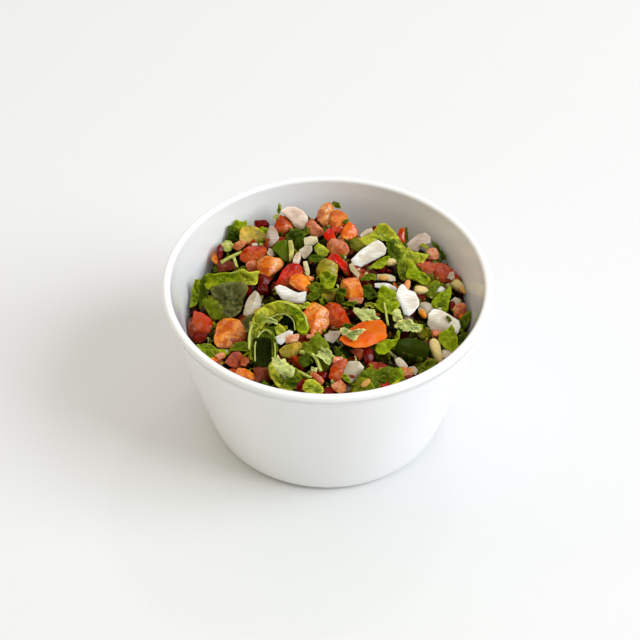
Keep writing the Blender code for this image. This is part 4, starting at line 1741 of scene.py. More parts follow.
@dataclass(frozen=True)
class SoakedMix(Finish):
    """Fine, wet chopped stuff deep in the heap."""

    def paint(self, s: Shader) -> None:
        """Sets up its colour, gloss and relief.

        Args:
            s: the material's nodes.
        """
        lie = s.attribute("lie", "Vector")
        tint = s.attribute("tint")
        cloud = s.noise(lie, 0.5, 3.0, 0.5)
        fine = s.noise(lie, 2.0, 3.0)
        colour = s.mix(s.span(cloud, 0.35, 0.65), s.dyed(tint, (0.45, 0.45, 0.45)), tint)
        s.set(
            Base_Color=colour,
            Roughness=s.span(fine, 0.3, 0.7, (0.14, 0.34)),
            Specular_IOR_Level=0.10,
            Subsurface_Weight=0.25,
            Subsurface_Radius=(1.0, 0.5, 0.2),
            Subsurface_Scale=1.0 * MM,
            Coat_Weight=0.05,
            Coat_Roughness=0.12,
            Normal=s.relief(s.sum("ADD", cloud, fine), 0.30 * MM, 0.8),
        )


@dataclass(frozen=True)
class Glaze(Finish):
    """White glaze over pottery, bare and duller where the foot stands."""

    white: tuple[float, float, float] = (0.938, 0.940, 0.936)
    bare: tuple[float, float, float] = (0.70, 0.67, 0.62)

    def paint(self, s: Shader) -> None:
        """Sets up its colour, gloss and relief.

        Args:
            s: the material's nodes.
        """
        lie = s.attribute("lie", "Vector")
        foot, _, _ = s.parts(s.attribute("mark"))
        cloud = s.noise(lie, 0.035, 2.0)
        pits = s.noise(lie, 0.30, 2.0)
        warm = s.mix(s.span(cloud, 0.3, 0.7), self.white, (0.932, 0.931, 0.922))
        s.set(
            Base_Color=s.mix(foot, warm, self.bare),
            Roughness=s.span(foot, 0.0, 1.0, (0.13, 0.75)),
            Subsurface_Weight=0.06,
            Subsurface_Radius=(1.0, 0.95, 0.85),
            Subsurface_Scale=1.2 * MM,
            Coat_Weight=0.35,
            Coat_Roughness=0.05,
            Normal=s.relief(s.sum("ADD", cloud, s.product(pits, 0.4)), 0.10 * MM, 0.30),
        )


@dataclass(frozen=True)
class TableTop(Finish):
    """Plain matt white board."""

    def paint(self, s: Shader) -> None:
        """Sets up its colour, gloss and relief.

        Args:
            s: the material's nodes.
        """
        node = s.tree.nodes.new("ShaderNodeTexCoord")
        fine = s.noise(node.outputs["Object"], 900.0, 2.0)
        s.set(
            Base_Color=s.mix(s.span(fine, 0.3, 0.7), (0.782, 0.780, 0.778), (0.790, 0.788, 0.787)),
            Roughness=0.65,
            Specular_IOR_Level=0.25,
        )


# ---- Sub-assemblies ----


def own_tint(tone: Tone, rng: random.Random, stray: float = 0.10) -> Array:
    """A tone, a little lighter or darker and shifted, as no two pieces are alike.

    Args:
        tone: the tone.
        rng: source of the change.
        stray: share by which it may change.

    Returns:
        Red, green and blue.
    """
    light = rng.uniform(1.0 - stray, 1.0 + stray)
    shift = draw(rng, 1.0 - 0.5 * stray, 1.0 + 0.5 * stray, 3)
    return np.minimum(np.array(tone.value) * light * shift, 0.93)


def finish_food(made: bpy.types.Object) -> bpy.types.Object:
    """Makes a joined kind of piece ride with the dish and stand for part of the heap.

    Args:
        made: the joined object.

    Returns:
        The same object.
    """
    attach(made, BODY)
    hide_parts("pico_heap")
    return made


@dataclass
class Bowl:
    """The glazed dish.

    Attributes:
        heap: what lies in it.
        segments: points round it.
        bare_below: height under which its foot has no glaze, metres.
    """

    heap: Heap
    segments: int = 224
    bare_below: float = 0.25 * MM

    def build(self) -> bpy.types.Object:
        """Turns the profile and glazes it.

        Returns:
            The object.
        """
        rings = np.array(self.heap.bowl.profile())
        angle = math.tau * np.arange(self.segments) / self.segments
        x = rings[:, :1] * np.cos(angle)
        y = rings[:, :1] * np.sin(angle)
        z = np.repeat(rings[:, 1:], self.segments, axis=1)
        points = np.stack([x, y, z], axis=2).reshape(-1, 3)
        base = np.arange(self.segments)
        last = base + (len(rings) - 1) * self.segments
        faces = [*bands(base, len(rings), turned=True), self.cap(base[::-1]), self.cap(last)]
        mark = blank(len(points))
        ring_of = np.repeat(np.arange(len(rings)), self.segments)
        mark[:, 0] = (points[:, 2] < self.bare_below) & (ring_of < len(rings) // 2)
        stock = Stock("glazed_bowl", self.heap)
        stock.parts.append(Shape(points, np.concatenate(faces), points / MM, mark, 0.0 * points))
        stock.tints.append(np.ones((len(points), 4)))
        made = stock.make(Glaze("white_glaze").material())
        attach(made, BODY)
        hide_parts("bowl")
        return made

    @staticmethod
    def cap(ring: Array) -> Array:
        """Quads that close a small ring, halves folded on each other.

        Args:
            ring: indices round it.

        Returns:
            The faces.
        """
        half = len(ring) // 2
        left = ring[:half]
        right = ring[half:][::-1]
        return np.stack([left[:-1], left[1:], right[1:], right[:-1]], axis=1)


@dataclass
class SoakedCore:
    """The heap's inside: it fills the bowl to a little under the pieces that show.

    Attributes:
        heap: what lies on it.
        depth: how far it lies under the heap's level, metres.
        bump: height of its scraps, metres.
        columns: points round it.
        rings: points from its middle to its edge.
        scraps: on its top.
        seed: of its unevenness.
    """

    heap: Heap
    depth: float = 4.4 * MM
    bump: float = 1.2 * MM
    columns: int = 200
    rings: int = 60
    scraps: int = 700
    seed: int = 5

    TONES = (Tone.DEEP, Tone.BROWN, Tone.DARK, Tone.MID, Tone.DARK, Tone.DARK_OLIVE, Tone.BROWN)

    def wall(self, angle: Array) -> list[tuple[Array, Array]]:
        """Its rings from the floor up along the bowl's wall to its edge.

        Args:
            angle: of each point round a ring.

        Returns:
            Radii and heights of each ring.
        """
        bowl, gap = self.heap.bowl, self.heap.gap
        edge = np.full(self.columns, bowl.rim)
        height = np.full(self.columns, self.heap.mound.crown)
        for _ in range(8):
            edge = bowl.inner(height) - gap
            height = self.heap.level(edge * np.cos(angle), edge * np.sin(angle)) - self.depth
        levels = []
        for degrees in (90.0, 67.5, 45.0, 22.5, 0.0):
            rise = bowl.floor + bowl.inner_corner * (1.0 - math.sin(math.radians(degrees)))
            radius = bowl.inner(rise) - gap
            levels.append((np.full(self.columns, radius), np.full(self.columns, rise + gap)))
        low = bowl.floor + bowl.inner_corner
        for share in (0.2, 0.4, 0.6, 0.8):
            rise = low + share * (height - low)
            levels.append((bowl.inner(rise) - gap, rise))
        return [*levels, (edge, height)]

    def build(self) -> bpy.types.Object:
        """Builds the core with a relief of small wet scraps.

        Returns:
            The object.
        """
        rng = random.Random(self.seed)
        bowl = self.heap.bowl
        angle = math.tau * np.arange(self.columns) / self.columns
        levels = self.wall(angle)
        edge = levels[-1][0]
        seeds = draw(rng, -bowl.rim, bowl.rim, self.scraps, 2)
        colours = np.array([rng.choice(self.TONES).value for _ in seeds])
        for ring in range(self.rings - 1, 0, -1):
            radius = edge * ring / self.rings
            x = radius * np.cos(angle)
            y = radius * np.sin(angle)
            near, second, _ = nearest_two(np.stack([x, y], axis=1), seeds)
            rise = self.bump * (np.clip((second - near) / (3.0 * MM), 0.0, 1.0) - 0.4)
            levels.append((radius, self.heap.level(x, y) - self.depth + rise))
        radii, heights = np.array(levels).transpose(1, 0, 2)
        rows = np.stack([radii * np.cos(angle), radii * np.sin(angle), heights], axis=2)
        ends = [[0, 0, bowl.floor + self.heap.gap], [0, 0, self.heap.mound.crown - self.depth]]
        points = np.concatenate([rows.reshape(-1, 3), ends])
        count = len(levels) * self.columns
        base = np.arange(self.columns)
        faces = [fan(count, base, turned=True), *bands(base, len(levels), turned=True)]
        faces.append(fan(count + 1, base + count - self.columns))
        _, _, nearest = nearest_two(points[:, :2], seeds)
        mark = blank(len(points))
        stock = Stock("soaked_core", self.heap)
        stock.parts.append(Shape(points, np.concatenate(faces), points / MM, mark, 0.0 * points))
        # The core's tones are darkened to 0.22: the soaked stuff is dark, and this is also painted shade of
        # the deep gaps between the pieces.
        tints = np.concatenate([0.22 * colours[nearest], np.ones((len(points), 1))], axis=1)
        stock.tints.append(tints)
        return finish_food(stock.make(SoakedMix("soaked_mix").material()))


# ---- The pieces that show, each one placed and outlined ----

# fmt: off
T = Tone
L = Leaf

TOMATO = (
    Bit((262, 225), (5, 2.5, 3), T.DEEP),
    Bit((246, 292), (4, 3.5, 3), T.DEEP),
    Bit((343, 266), (4, 3, 3), T.MAROON),
    Bit((327, 393), (5, 3, 3), T.DEEP),
    Bit((339, 360), (3, 2.5, 2), T.PINK, lift=1.0),
    Bit((464, 318), (4, 3, 3), T.ORANGE),
    Bit((407, 373), (4, 3, 3), T.SALMON),
    Bit((387, 382), (4.8, 3.8, 3.2), T.RED),
    Bit((377, 230), (3, 2.5, 2), T.DEEP),
    Bit((436, 334), (3, 2.5, 2.5), T.PINK, lift=0.6),
    Bit((311, 337), (3, 1.5, 2), T.PINK),
    Bit((292, 339), (4.5, 3, 2), T.PINK, lift=1.6),
    Bit((227, 268), (7, 4, 4), T.BROWN),
    Bit((418, 301), (5.4, 4.4, 4), T.DEEP, 60, lift=-1.4),
    Bit((452, 306), (2, 4, 2), T.DEEP),
    Bit((355, 301), (5, 2.5, 2), T.PINK),
)
ONION = (
    Bit((447, 355), (4, 3, 2.5), T.BLUSH),
    Bit((255, 245), (2, 1.6, 1.2), T.GLASS),
)
GREEN_CUT = (Bit((467, 286), (7, 4, 3), T.DARK_OLIVE, -60),)
LEAF_BITS = (
    Bit((270, 321), (5, 3), T.PALE, -10, 0.6, 1, L.TORN),
    Bit((326, 356), (7.2, 6.2), T.PALE, -40, 0.6, 0.6, L.FAN),
    Bit((307, 361), (6, 5), T.DARK, 0, 0.5, 0.2, L.TORN),
    Bit((314, 370), (3.5, 2), T.PALE, 0, 0.5, 0.8, L.TORN),
    Bit((371, 305), (4, 3), T.LIME, 0, 0.5, 0.6, L.TORN),
    Bit((417, 327), (5, 3), T.BRIGHT, 0, 0.5, 0.8, L.TORN),
    Bit((424, 247), (3, 2.5), T.LIME, 0, 0.5, 0.6, L.TORN),
    Bit((342, 292), (5, 4), T.OLIVE, 0, 0.5, 0.4, L.TORN),
    Bit((313, 297), (6, 4), T.OLIVE, 30, 0.5, 0.6, L.TORN),
    Bit((350, 304), (6, 3.6), T.MID, 0, 0.5, 0.6, L.TORN),
)
TOMATO_DRAWN = (
    Drawn("257,260 261,257 268,256 273,258 279,258 282,262 281,266 275,272 270,276 265,276 261,273 258,269",
          T.ORANGE, 6, 1.2, 84, blend=0.55),
    Drawn("241,254 245,249 250,245 259,245 265,247 266,252 265,256 259,258 253,261 245,262 241,259",
          T.FIRE, 4, 1, 20, roof=0.15),
    Drawn("246,264 249,261 257,260 259,268 255,272 248,271", T.DUSKY, 4, 0, 10),
    Drawn("208,252 212,247 217,248 218,254 217,264 212,262 208,258", T.ORANGE, 4, 0.6, 75),
    Drawn("217,248 220,245 223,248 222,256 220,264 216,266 216,260", T.DEEP, 4, 0.3, 80),
    Drawn("234,244 239,241 247,241 244,246 238,250 234,248", T.DUSKY, 3, 0.8, 10),
    Drawn("275,224 280,215 286,216 291,221 293,227 287,231 282,235 279,233 276,229",
          T.FIRE, 6, 0.8, 60, blend=0.4),
    Drawn("306,224 311,219 315,222 322,229 324,234 318,236 311,235 309,229", T.PINK, 4, 0.8, -35),
    Drawn("308,222 311,218 316,222 312,225 309,226", T.FIRE, 3, 1.4, -35),
    Drawn("318,212 323,205 329,203 333,206 333,213 332,222 329,228 325,229 322,224 318,220",
          T.SALMON, 6, 0.6, 80),
    Drawn("333,211 338,210 344,213 347,217 347,222 344,226 338,232 334,231 329,228 331,219",
          T.ORANGE, 6, 0.9, 35),
    Drawn("341,234 345,226 349,222 354,225 357,230 357,234 351,239 345,240 340,237",
          T.ORANGE, 5, 1, 60, skin=1),
    Drawn("324,234 328,228 332,230 336,237 335,240 329,241 325,238", T.RED, 3, 1.6, 50, skin=1),
    Drawn("328,243 333,238 342,240 347,244 349,249 346,255 341,256 334,255 329,251",
          T.DUSKY, 5, 0.8, -20, blend=0.7),
    Drawn("328,257 332,252 338,255 343,260 347,268 350,275 345,274 339,265 333,261",
          T.RED, 3, 1, -45, skin=1),
    Drawn("276,283 279,279 283,270 289,264 296,264 302,267 304,272 299,274 294,278 289,285 281,286",
          T.RED, 4, 1.4, 40, roof=0.5),
    Drawn("290,283 292,277 298,274 304,275 310,283 314,290 312,296 308,297 306,291 299,290 293,286",
          T.ORANGE, 4, 0.9, -45),
    Drawn("304,275 314,277 313,280 306,280", T.ORANGE, 1.5, 1.4),
    Drawn("341,286 343,279 350,277 358,277 360,283 362,290 363,298 355,298 347,297 342,292",
          T.ORANGE, 6, 1.2, 177, blend=0.8),
    Drawn("259,274 265,276 272,278 267,285 268,292 263,299 257,290 259,284", T.DEEP, 5, 0.2, 80),
    Drawn("303,313 309,303 314,301 319,304 330,313 329,320 325,329 319,335 311,334 309,325 304,318",
          T.ORANGE, 6, 1.6, 78, blend=0.6),
    Drawn("325,306 329,303 338,304 344,309 347,317 350,324 348,327 341,326 336,330 330,330 327,322 329,314",
          T.FIRE, 6, 0.6, -40, roof=0.5, blend=0.2),
    Drawn("193,318 195,312 203,314 210,319 212,324 212,330 207,334 200,335 195,330 192,325",
          T.FIRE, 5, 1, -50, skin=1),
    Drawn("187,319 191,316 195,322 196,332 195,342 191,343 188,334", T.BROWN, 3, 0.4, 80),
    Drawn("194,331 200,334 207,333 206,339 200,343 195,341", T.DEEP, 4, 0.4, 10),
    Drawn("216,327 217,322 223,318 230,318 238,321 243,327 245,335 244,340 237,343 233,346 225,347 218,346 "
          "215,340", T.ORANGE, 7, 1.8, 45, roof=0.3, blend=0.7),
    Drawn("228,357 233,352 239,352 243,357 242,365 235,368 229,365 225,362", T.MAROON, 5, 0.8, 60),
    Drawn("241,359 247,357 249,362 245,366 241,365", T.DUSKY, 3, 0.8),
    Drawn("209,359 215,356 219,359 218,365 214,366 210,362", T.ORANGE, 3, 0.6),
    Drawn("215,355 223,352 225,357 219,360", T.PINK, 3, 0.8),
    Drawn("233,374 238,368 245,369 253,373 256,376 251,382 243,379 235,376", T.ORANGE, 4, 1, -15),
    Drawn("229,369 235,369 236,373 232,374", T.FIRE, 3, 0.6),
    Drawn("253,369 259,366 267,368 271,376 271,385 261,385 254,382 256,376", T.BROWN, 5, -0.4, 70),
    Drawn("297,384 303,379 309,381 308,388 302,391 297,390", T.DEEP, 3, 1.2),
    Drawn("310,374 314,372 320,376 324,381 321,385 315,380", T.DUSKY, 2.5, 1, -35),
    Drawn("329,376 332,366 338,361 347,360 346,365 343,371 341,379 336,383 332,381",
          T.FIRE, 4, 1.2, 58, roof=0.5),
    Drawn("331,385 336,382 341,380 346,385 345,391 340,393 334,390", T.DUSKY, 4, 1, 15, blend=0.7),
    Drawn("363,349 370,347 374,350 373,360 370,365 365,364 364,357", T.DEEP, 5, -0.2, 80),
    Drawn("350,350 358,348 364,350 363,357 359,360 354,354", T.BROWN, 4, 0),
    Drawn("398,234 400,229 404,228 407,231 407,238 405,244 401,242", T.FIRE, 3, 0.8, 80, skin=1),
    Drawn("426,252 429,248 435,248 439,253 438,258 432,260 426,257", T.PINK, 4, 0.9, 60),
    Drawn("417,265 422,262 430,261 435,264 434,270 430,275 424,274 419,269", T.MAROON, 5, 0.5, -20),
    Drawn("431,274 436,266 442,262 450,262 458,267 464,274 465,279 460,281 452,280 447,284 442,283 436,279",
          T.MAROON, 6, 1, -30, roof=0.3, skin=0.5),
    Drawn("453,309 457,304 463,303 467,307 466,314 460,318 455,317", T.DUSKY, 4, 0.6, 40),
    Drawn("341,338 352,329 360,324 370,322 380,321 384,326 385,338 377,342 366,347 355,347 347,344",
          T.ORANGE, 1.4, 2.4, 8, roof=-0.4, blend=0, skin=1, lean=0.7),
)
ONION_DRAWN = (
    Drawn("281,211 287,207 296,207 303,211 308,217 307,225 303,230 295,227 291,221 285,216",
          T.BLUSH, 3, 1.2, -40),
    Drawn("267,233 270,227 273,226 277,231 279,238 275,243 271,247 267,245 266,240",
          T.LILAC, 3, 1.2, -70, roof=0.5),
    Drawn("269,248 272,249 275,255 270,257 267,253", T.GLASS, 2, 0.6),
    Drawn("304,238 311,236 317,237 318,241 313,245 305,246 304,242", T.CREAM, 2.6, 1.4, 20),
    Drawn("299,250 305,246 312,246 312,251 307,257 304,259 300,254", T.GLASS, 2.4, 1, 40),
    Drawn("293,259 296,253 300,252 301,257 299,264 293,263", T.BLUSH, 2.2, 1.4, 75),
    Drawn("303,262 307,261 309,268 310,274 306,274 304,269", T.CREAM, 1.8, 1.4, -75),
    Drawn("275,287 280,285 286,287 293,291 299,293 306,291 306,300 303,303 296,303 289,301 282,299 278,294",
          T.WHITE, 3, 2.2, -20, roof=0.2),
    Drawn("243,315 245,306 247,300 250,296 255,291 259,294 261,300 260,308 255,315 249,316",
          T.GLASS, 3.2, 1.2, 75, roof=0.5),
    Drawn("275,337 281,334 289,330 293,332 291,337 286,341 281,345 277,343", T.WHITE, 2.8, 1.8, 30),
    Drawn("324,335 332,331 340,331 341,333 338,338 333,343 326,341", T.LILAC, 2.4, 0.8, 20),
    Drawn("351,260 360,251 370,244 378,240 382,243 386,249 385,254 378,258 370,262 361,267 354,265",
          T.WHITE, 3, 2.2, 32, roof=0.25),
    Drawn("360,235 365,230 372,228 373,232 366,235 361,238", T.BLUSH, 2, 0.8, 30),
    Drawn("405,246 412,239 419,234 425,233 430,237 430,243 422,246 418,252 413,251",
          T.LILAC, 2.8, 1, 35, roof=0.2),
    Drawn("377,274 386,274 395,276 396,280 390,281 383,280 377,280", T.CREAM, 2.2, 1),
    Drawn("375,283 386,283 396,286 398,289 389,290 380,288 375,287", T.WHITE, 2.2, 1.4),
    Drawn("395,296 400,286 403,284 408,290 415,292 419,300 419,305 413,313 409,316 404,314 401,306",
          T.WHITE, 3.2, 2.4, -60, roof=0.2),
    Drawn("428,323 429,314 434,309 441,310 450,315 459,321 460,327 457,334 450,331 439,335 432,331",
          T.WHITE, 3.8, 2, -25, roof=0.3),
    Drawn("345,364 350,361 359,362 364,367 362,374 356,381 350,383 343,376 344,370", T.GLASS, 3.4, 0.8, 60),
    Drawn("395,360 399,357 404,361 408,366 406,370 400,368 396,364", T.GLASS, 2.6, 0.8, -45),
    Drawn("407,370 409,367 414,366 418,370 416,375 410,374", T.LILAC, 3, 0.5),
    Drawn("436,290 441,286 446,289 443,292 437,292", T.WHITE, 2, 1.4),
    Drawn("447,278 450,272 454,272 455,278 452,280", T.LILAC, 1.5, 2.2, 70),
    Drawn("449,302 455,297 461,300 460,305 453,305", T.GLASS, 2.4, 0.4),
    Drawn("349,265 352,263 356,269 360,274 358,278 354,274 350,270", T.CREAM, 1.8, 1.4, -60),
)
GREEN_DRAWN = (
    Drawn("240,233 242,227 250,225 259,227 267,229 266,237 265,243 260,245 251,244 245,243 240,240",
          T.OLIVE_YELLOW, 5, 0.6, 10, roof=0.25),
    Drawn("221,244 225,240 230,241 234,245 231,250 226,252 222,249", T.PALE_GREEN, 3.5, 0.8),
    Drawn("272,249 277,242 285,240 288,241 289,251 288,261 283,260 278,254",
          T.GREEN, 4, 1.5, roof=0.2, skin=1),
    Drawn("288,241 292,240 294,249 293,257 289,262 289,251", T.PALE_GREEN, 3, 1.5, roof=0.2),
    Drawn("314,247 318,243 324,246 329,251 326,256 320,256 315,251", T.LIME_FLESH, 3.6, 1.2, -20),
    Drawn("316,269 320,261 325,258 331,261 338,265 337,272 337,280 329,282 322,282 318,276",
          T.UNRIPE, 5, 0.6, 60),
    Drawn("396,348 400,340 408,337 418,339 426,342 429,350 426,360 418,364 409,362 400,357 396,352",
          T.CHILLI, 8, 0.2, -10, roof=0.5, skin=1, lean=0.5),
    Drawn("349,242 354,237 359,239 365,245 364,250 357,252 351,248", T.DARK_OLIVE, 4, 0.4, -40),
    Drawn("279,350 285,345 293,343 299,342 303,345 300,350 296,356 289,358 282,356", T.UNRIPE, 3.8, 0.9, 20),
)
LEAVES_DRAWN = (
    DrawnLeaf("205,279 209,274 218,274 225,272 232,274 239,273 241,277 243,283 235,284 225,285 215,288 "
              "210,291 206,285", T.BRIGHT, 1.8, 0.7, roll=0.9),
    DrawnLeaf("240,270 245,269 249,273 259,271 258,278 257,283 255,288 249,286 243,283 241,277",
              T.LIME, 1.8, 0.7),
    DrawnLeaf("213,290 225,284 243,284 248,290 242,300 242,308 241,313 237,319 230,320 223,311 216,302",
              T.GREY_GREEN, 0.9, 0.6, 0.5, crease=0.45),
    DrawnLeaf("203,301 208,297 218,302 224,310 229,318 227,321 218,318 213,320 208,312",
              T.MID, 1, 0.7, 0, roll=1),
    DrawnLeaf("197,343 203,341 211,345 218,350 230,349 229,352 222,357 214,357 208,358 201,351",
              T.BRIGHT, 0.9, 0.5, 0.2),
    DrawnLeaf("225,240 229,233 228,227 233,225 237,229 241,234 240,240 232,242", T.DARK, 0.4, 0.9, 0.4),
    DrawnLeaf("229,223 231,218 237,219 243,218 242,226 240,232 236,227 232,230", T.BRIGHT, 1, 0.9, 0.5),
    DrawnLeaf("286,235 291,231 298,229 304,233 304,242 300,248 296,249 294,243 287,240",
              T.DARK, 0.6, 0.5, 0.5),
    DrawnLeaf("304,230 308,228 309,233 305,235", T.MID, 0.8, 0.5, 0),
    DrawnLeaf("309,258 313,255 322,256 325,259 321,262 315,263 309,261", T.DARK, 0.6, 0.5, 0.6),
    DrawnLeaf("320,275 327,268 331,274 336,276 335,283 333,290 327,292 322,287",
              T.BRIGHT, 1.2, 0.6, 0.3, roll=1.2),
    DrawnLeaf("308,285 318,283 328,288 337,286 335,292 325,293 318,294 311,290", T.MID, 0.8, 0.5, 0.3),
    DrawnLeaf("288,306 298,305 310,303 308,307 303,309 297,311 291,309", T.LIME, 1.2, 0.5, 0.4),
    DrawnLeaf("305,342 318,337 325,340 328,346 329,351 334,359 331,365 325,370 321,367 316,358 306,353 "
              "301,348", T.MID, 1, 0.6, 0.6),
    DrawnLeaf("275,328 280,325 285,329 285,333 278,335 276,332", T.LIME, 2, 0.6, 0.4),
    DrawnLeaf("299,318 305,320 308,328 306,337 299,334 297,325", T.BRIGHT, 1.4, 0.6, 0.3),
    DrawnLeaf("272,364 277,360 286,362 297,370 305,376 313,379 322,387 323,391 316,395 306,396 295,394 "
              "285,389 277,383 272,377 270,369", T.MID, 0.3, 0.7, 0.4, roll=0.3),
    DrawnLeaf("272,364 273,357 276,361 278,356 281,361 284,358 287,364 291,366 294,371 291,378 281,380 "
              "276,375", T.PALE, 3, 0.7, 0.6),
    DrawnLeaf("276,375 283,380 292,377 298,375 303,381 298,388 288,388 280,384", T.MID, 1.4, 0.7, 0.3),
    DrawnLeaf("248,345 249,333 252,325 256,315 263,309 268,312 266,320 262,328 258,337 257,348 255,360 "
              "249,358", T.LIME, 1.5, 0.7, 0.1, crease=0.22),
    DrawnLeaf("254,320 259,311 267,305 278,301 290,303 299,309 296,317 290,314 283,312 274,313 267,317 "
              "260,325", T.LIME, 2, 0.7, 0.2, crease=0.22),
    DrawnLeaf("290,304 300,310 309,321 308,333 302,337 297,331 296,321 291,313", T.BRIGHT, 1.8, 0.7, 0.2),
    DrawnLeaf("262,318 268,314 276,313 283,315 281,320 275,324 268,327 262,326", T.LIME, 0.2, 0.6, 0.4),
    # A near-black leaf in a dark gap: painted shade.
    DrawnLeaf("279,314 288,313 295,318 296,329 290,333 282,329 277,321", T.GAP_SHADE_GREEN, -1.2, 0.6, 0.2),
    DrawnLeaf("257,326 266,328 278,327 292,331 292,342 276,346 262,342 255,336", T.DARK, -1, 0.6, 0.2),
    DrawnLeaf("254,333 259,330 266,329 272,331 275,337 272,341 264,340 257,341", T.MID, 1.4, 0.8, 0.2),
    DrawnLeaf("252,338 256,334 257,350 256,362 252,360 251,349", T.MID, 1.2, 0.7, 0),
    DrawnLeaf("272,333 276,338 278,349 276,362 273,364 272,350", T.MID, 1.2, 0.7, 0),
    # A near-black leaf in a dark gap: painted shade.
    DrawnLeaf("254,340 264,338 274,340 276,354 274,367 263,369 254,362", T.GAP_SHADE_GREEN, 0.4, 0.6, 0),
    DrawnLeaf("303,388 307,380 314,380 323,388 322,393 315,395 307,393", T.LIME, 1.8, 0.6, 0.4),
    DrawnLeaf("270,367 273,365 276,373 281,382 289,389 296,393 286,391 277,385 271,377", T.LIME, 1.8, 0.7, 0),
    DrawnLeaf("340,330 345,328 348,330 352,331 365,329 362,333 358,336 354,340 348,337 342,334",
              T.PALE, 3.2, 0.8, 0.7),
    DrawnLeaf("354,309 361,309 373,309 375,315 380,318 374,320 368,320 363,321 359,317 355,313",
              T.PALE, 1.2, 0.6, 0.7),
    DrawnLeaf("378,300 380,290 382,286 388,290 395,292 397,300 399,305 395,312 392,320 387,315 382,312 "
              "376,306", T.BRIGHT, 1.2, 0.6, 0.9),
    DrawnLeaf("392,313 396,309 400,310 402,319 399,322 394,321", T.PALE, 1.5, 0.6, 0.2),
    DrawnLeaf("395,326 400,321 410,320 415,325 422,324 420,330 413,333 406,332 400,329",
              T.PALE, 1.6, 0.5, 0.7),
    DrawnLeaf("395,338 398,330 400,332 399,339 396,342", T.BRIGHT, 1.2, 0.6, 0),
    DrawnLeaf("376,350 377,345 386,340 394,340 397,338 395,345 390,349 384,357 378,354",
              T.BRIGHT, 1.5, 0.6, 0.2),
    DrawnLeaf("449,329 451,325 453,329 456,335 458,348 453,352 445,350 439,340 441,333",
              T.BRIGHT, 2.2, 0.6, 0.5),
    DrawnLeaf("349,394 355,385 360,376 368,369 378,366 389,366 397,369 389,378 380,387 363,391",
              T.OLIVE, 1.4, 0.6, 0.2, roll=0.8, crease=0.1),
    DrawnLeaf("390,369 399,368 403,372 404,380 394,385 389,383", T.BRIGHT, 1.6, 0.6, 0, roll=1.2),
    DrawnLeaf("361,241 363,238 372,234 379,225 384,225 390,230 398,237 399,243 392,246 386,243 380,239 "
              "374,244 368,247", T.LIME, 1.2, 0.6, 0.4),
    DrawnLeaf("392,240 398,237 404,246 408,249 416,252 427,255 422,261 414,264 406,262 398,260 393,254 "
              "390,246", T.LIME, 1.6, 0.6, 0.2, roll=0.9),
    DrawnLeaf("410,264 415,265 420,271 430,279 428,284 422,283 413,279 406,277", T.BRIGHT, 1.8, 0.6, 0.2),
    DrawnLeaf("386,243 394,240 398,246 401,256 400,264 394,262 389,256", T.DARK, 1, 0.5, 0.4),
    DrawnLeaf("398,262 406,262 410,265 406,273 409,280 401,279 397,270", T.MID, 0.9, 0.5, 0.5),
    DrawnLeaf("369,270 375,263 384,257 389,256 386,264 380,270 373,273", T.BRIGHT, 1.4, 0.6, 0.1, roll=1.1),
    DrawnLeaf("432,243 437,244 441,249 445,256 447,260 442,258 438,253 433,247", T.DARK, 0.8, 0.6, 0.6),
    DrawnLeaf("428,288 431,283 436,281 441,285 438,288 436,292 438,296 431,297 426,295",
              T.MID, 1.1, 0.5, 0.6),
    DrawnLeaf("431,304 434,299 440,293 448,289 450,285 451,292 449,300 446,311 439,309",
              T.BRIGHT, 1.4, 0.6, 0.4),
    DrawnLeaf("461,333 464,324 472,315 479,311 478,319 472,329 465,334 461,338",
              T.OLIVE, 0.6, 0.8, 0, roll=0.8),
    DrawnLeaf("456,344 459,338 465,334 470,333 467,340 460,346", T.DARK, 0.4, 0.5, 0.2),
    DrawnLeaf("417,370 423,363 430,359 436,361 434,367 426,372 419,374", T.MID, 0.6, 0.5, 0.6),
    DrawnLeaf("191,304 193,288 197,276 200,274 200,284 199,295 197,308 194,314 191,312",
              T.BRIGHT, 0.9, 0.9, 0.2, roll=1.2),
    DrawnLeaf("199,300 201,285 205,275 209,280 208,292 206,302 203,310 200,308", T.DARK, 0.4, 0.8, 0.2),
    DrawnLeaf("230,348 237,343 245,342 249,346 249,352 241,351 233,351", T.MID, 0.5, 0.5, 0.2),
    DrawnLeaf("243,320 249,316 255,314 255,324 251,332 246,333 244,327", T.GREY_GREEN, 0.6, 0.5, 0),
    DrawnLeaf("363,287 370,285 373,290 378,295 377,300 370,300 364,296", T.DARK, 0.4, 0.5, 0.6),
    DrawnLeaf("360,279 368,274 376,275 375,281 368,281 362,281", T.MID, 0.9, 0.5, 0.5),
    DrawnLeaf("342,374 346,374 350,380 349,383 343,379", T.BRIGHT, 2, 0.7, 0),
    DrawnLeaf("277,211 279,204 281,205 281,210 279,214", T.BRIGHT, 1, 0.8, 0),
    DrawnLeaf("273,217 276,214 280,215 278,220 274,222", T.PALE, 0.6, 0.6, 0.3),
    DrawnLeaf("259,229 263,227 268,230 265,233 260,232", T.BRIGHT, 2.2, 0.6, 0),
    DrawnLeaf("331,204 334,201 339,203 341,208 337,208 333,206", T.MID, 1.6, 0.7, 0.3),
    DrawnLeaf("405,229 407,228 408,233 408,241 406,243", T.DARK, 0.9, 0.8, 0),
)
STALK = (
    DrawnStalk("221,263 231,257 242,252", 1.3),
    DrawnStalk("234,258 237,267", 1),
    DrawnStalk("300,352 314,356 321,371", 1.3),
    DrawnStalk("289,367 299,372 311,378", 1.2),
    DrawnStalk("251,322 252,345", 1.1),
    DrawnStalk("382,290 388,325", 0.8),
    DrawnStalk("249,349 250,332 256,318 266,308 280,303 294,306 304,315 308,327", 0.6, 3.4),
    DrawnStalk("257,338 262,326 272,317 284,314 293,320 295,330", 0.5, 2.2),
    DrawnStalk("255,361 255,346 259,335 266,330 272,335 275,347 275,362", 0.5, 2.6),
    DrawnStalk("206,278 218,274 232,273 244,270", 0.5, 3.2),
)
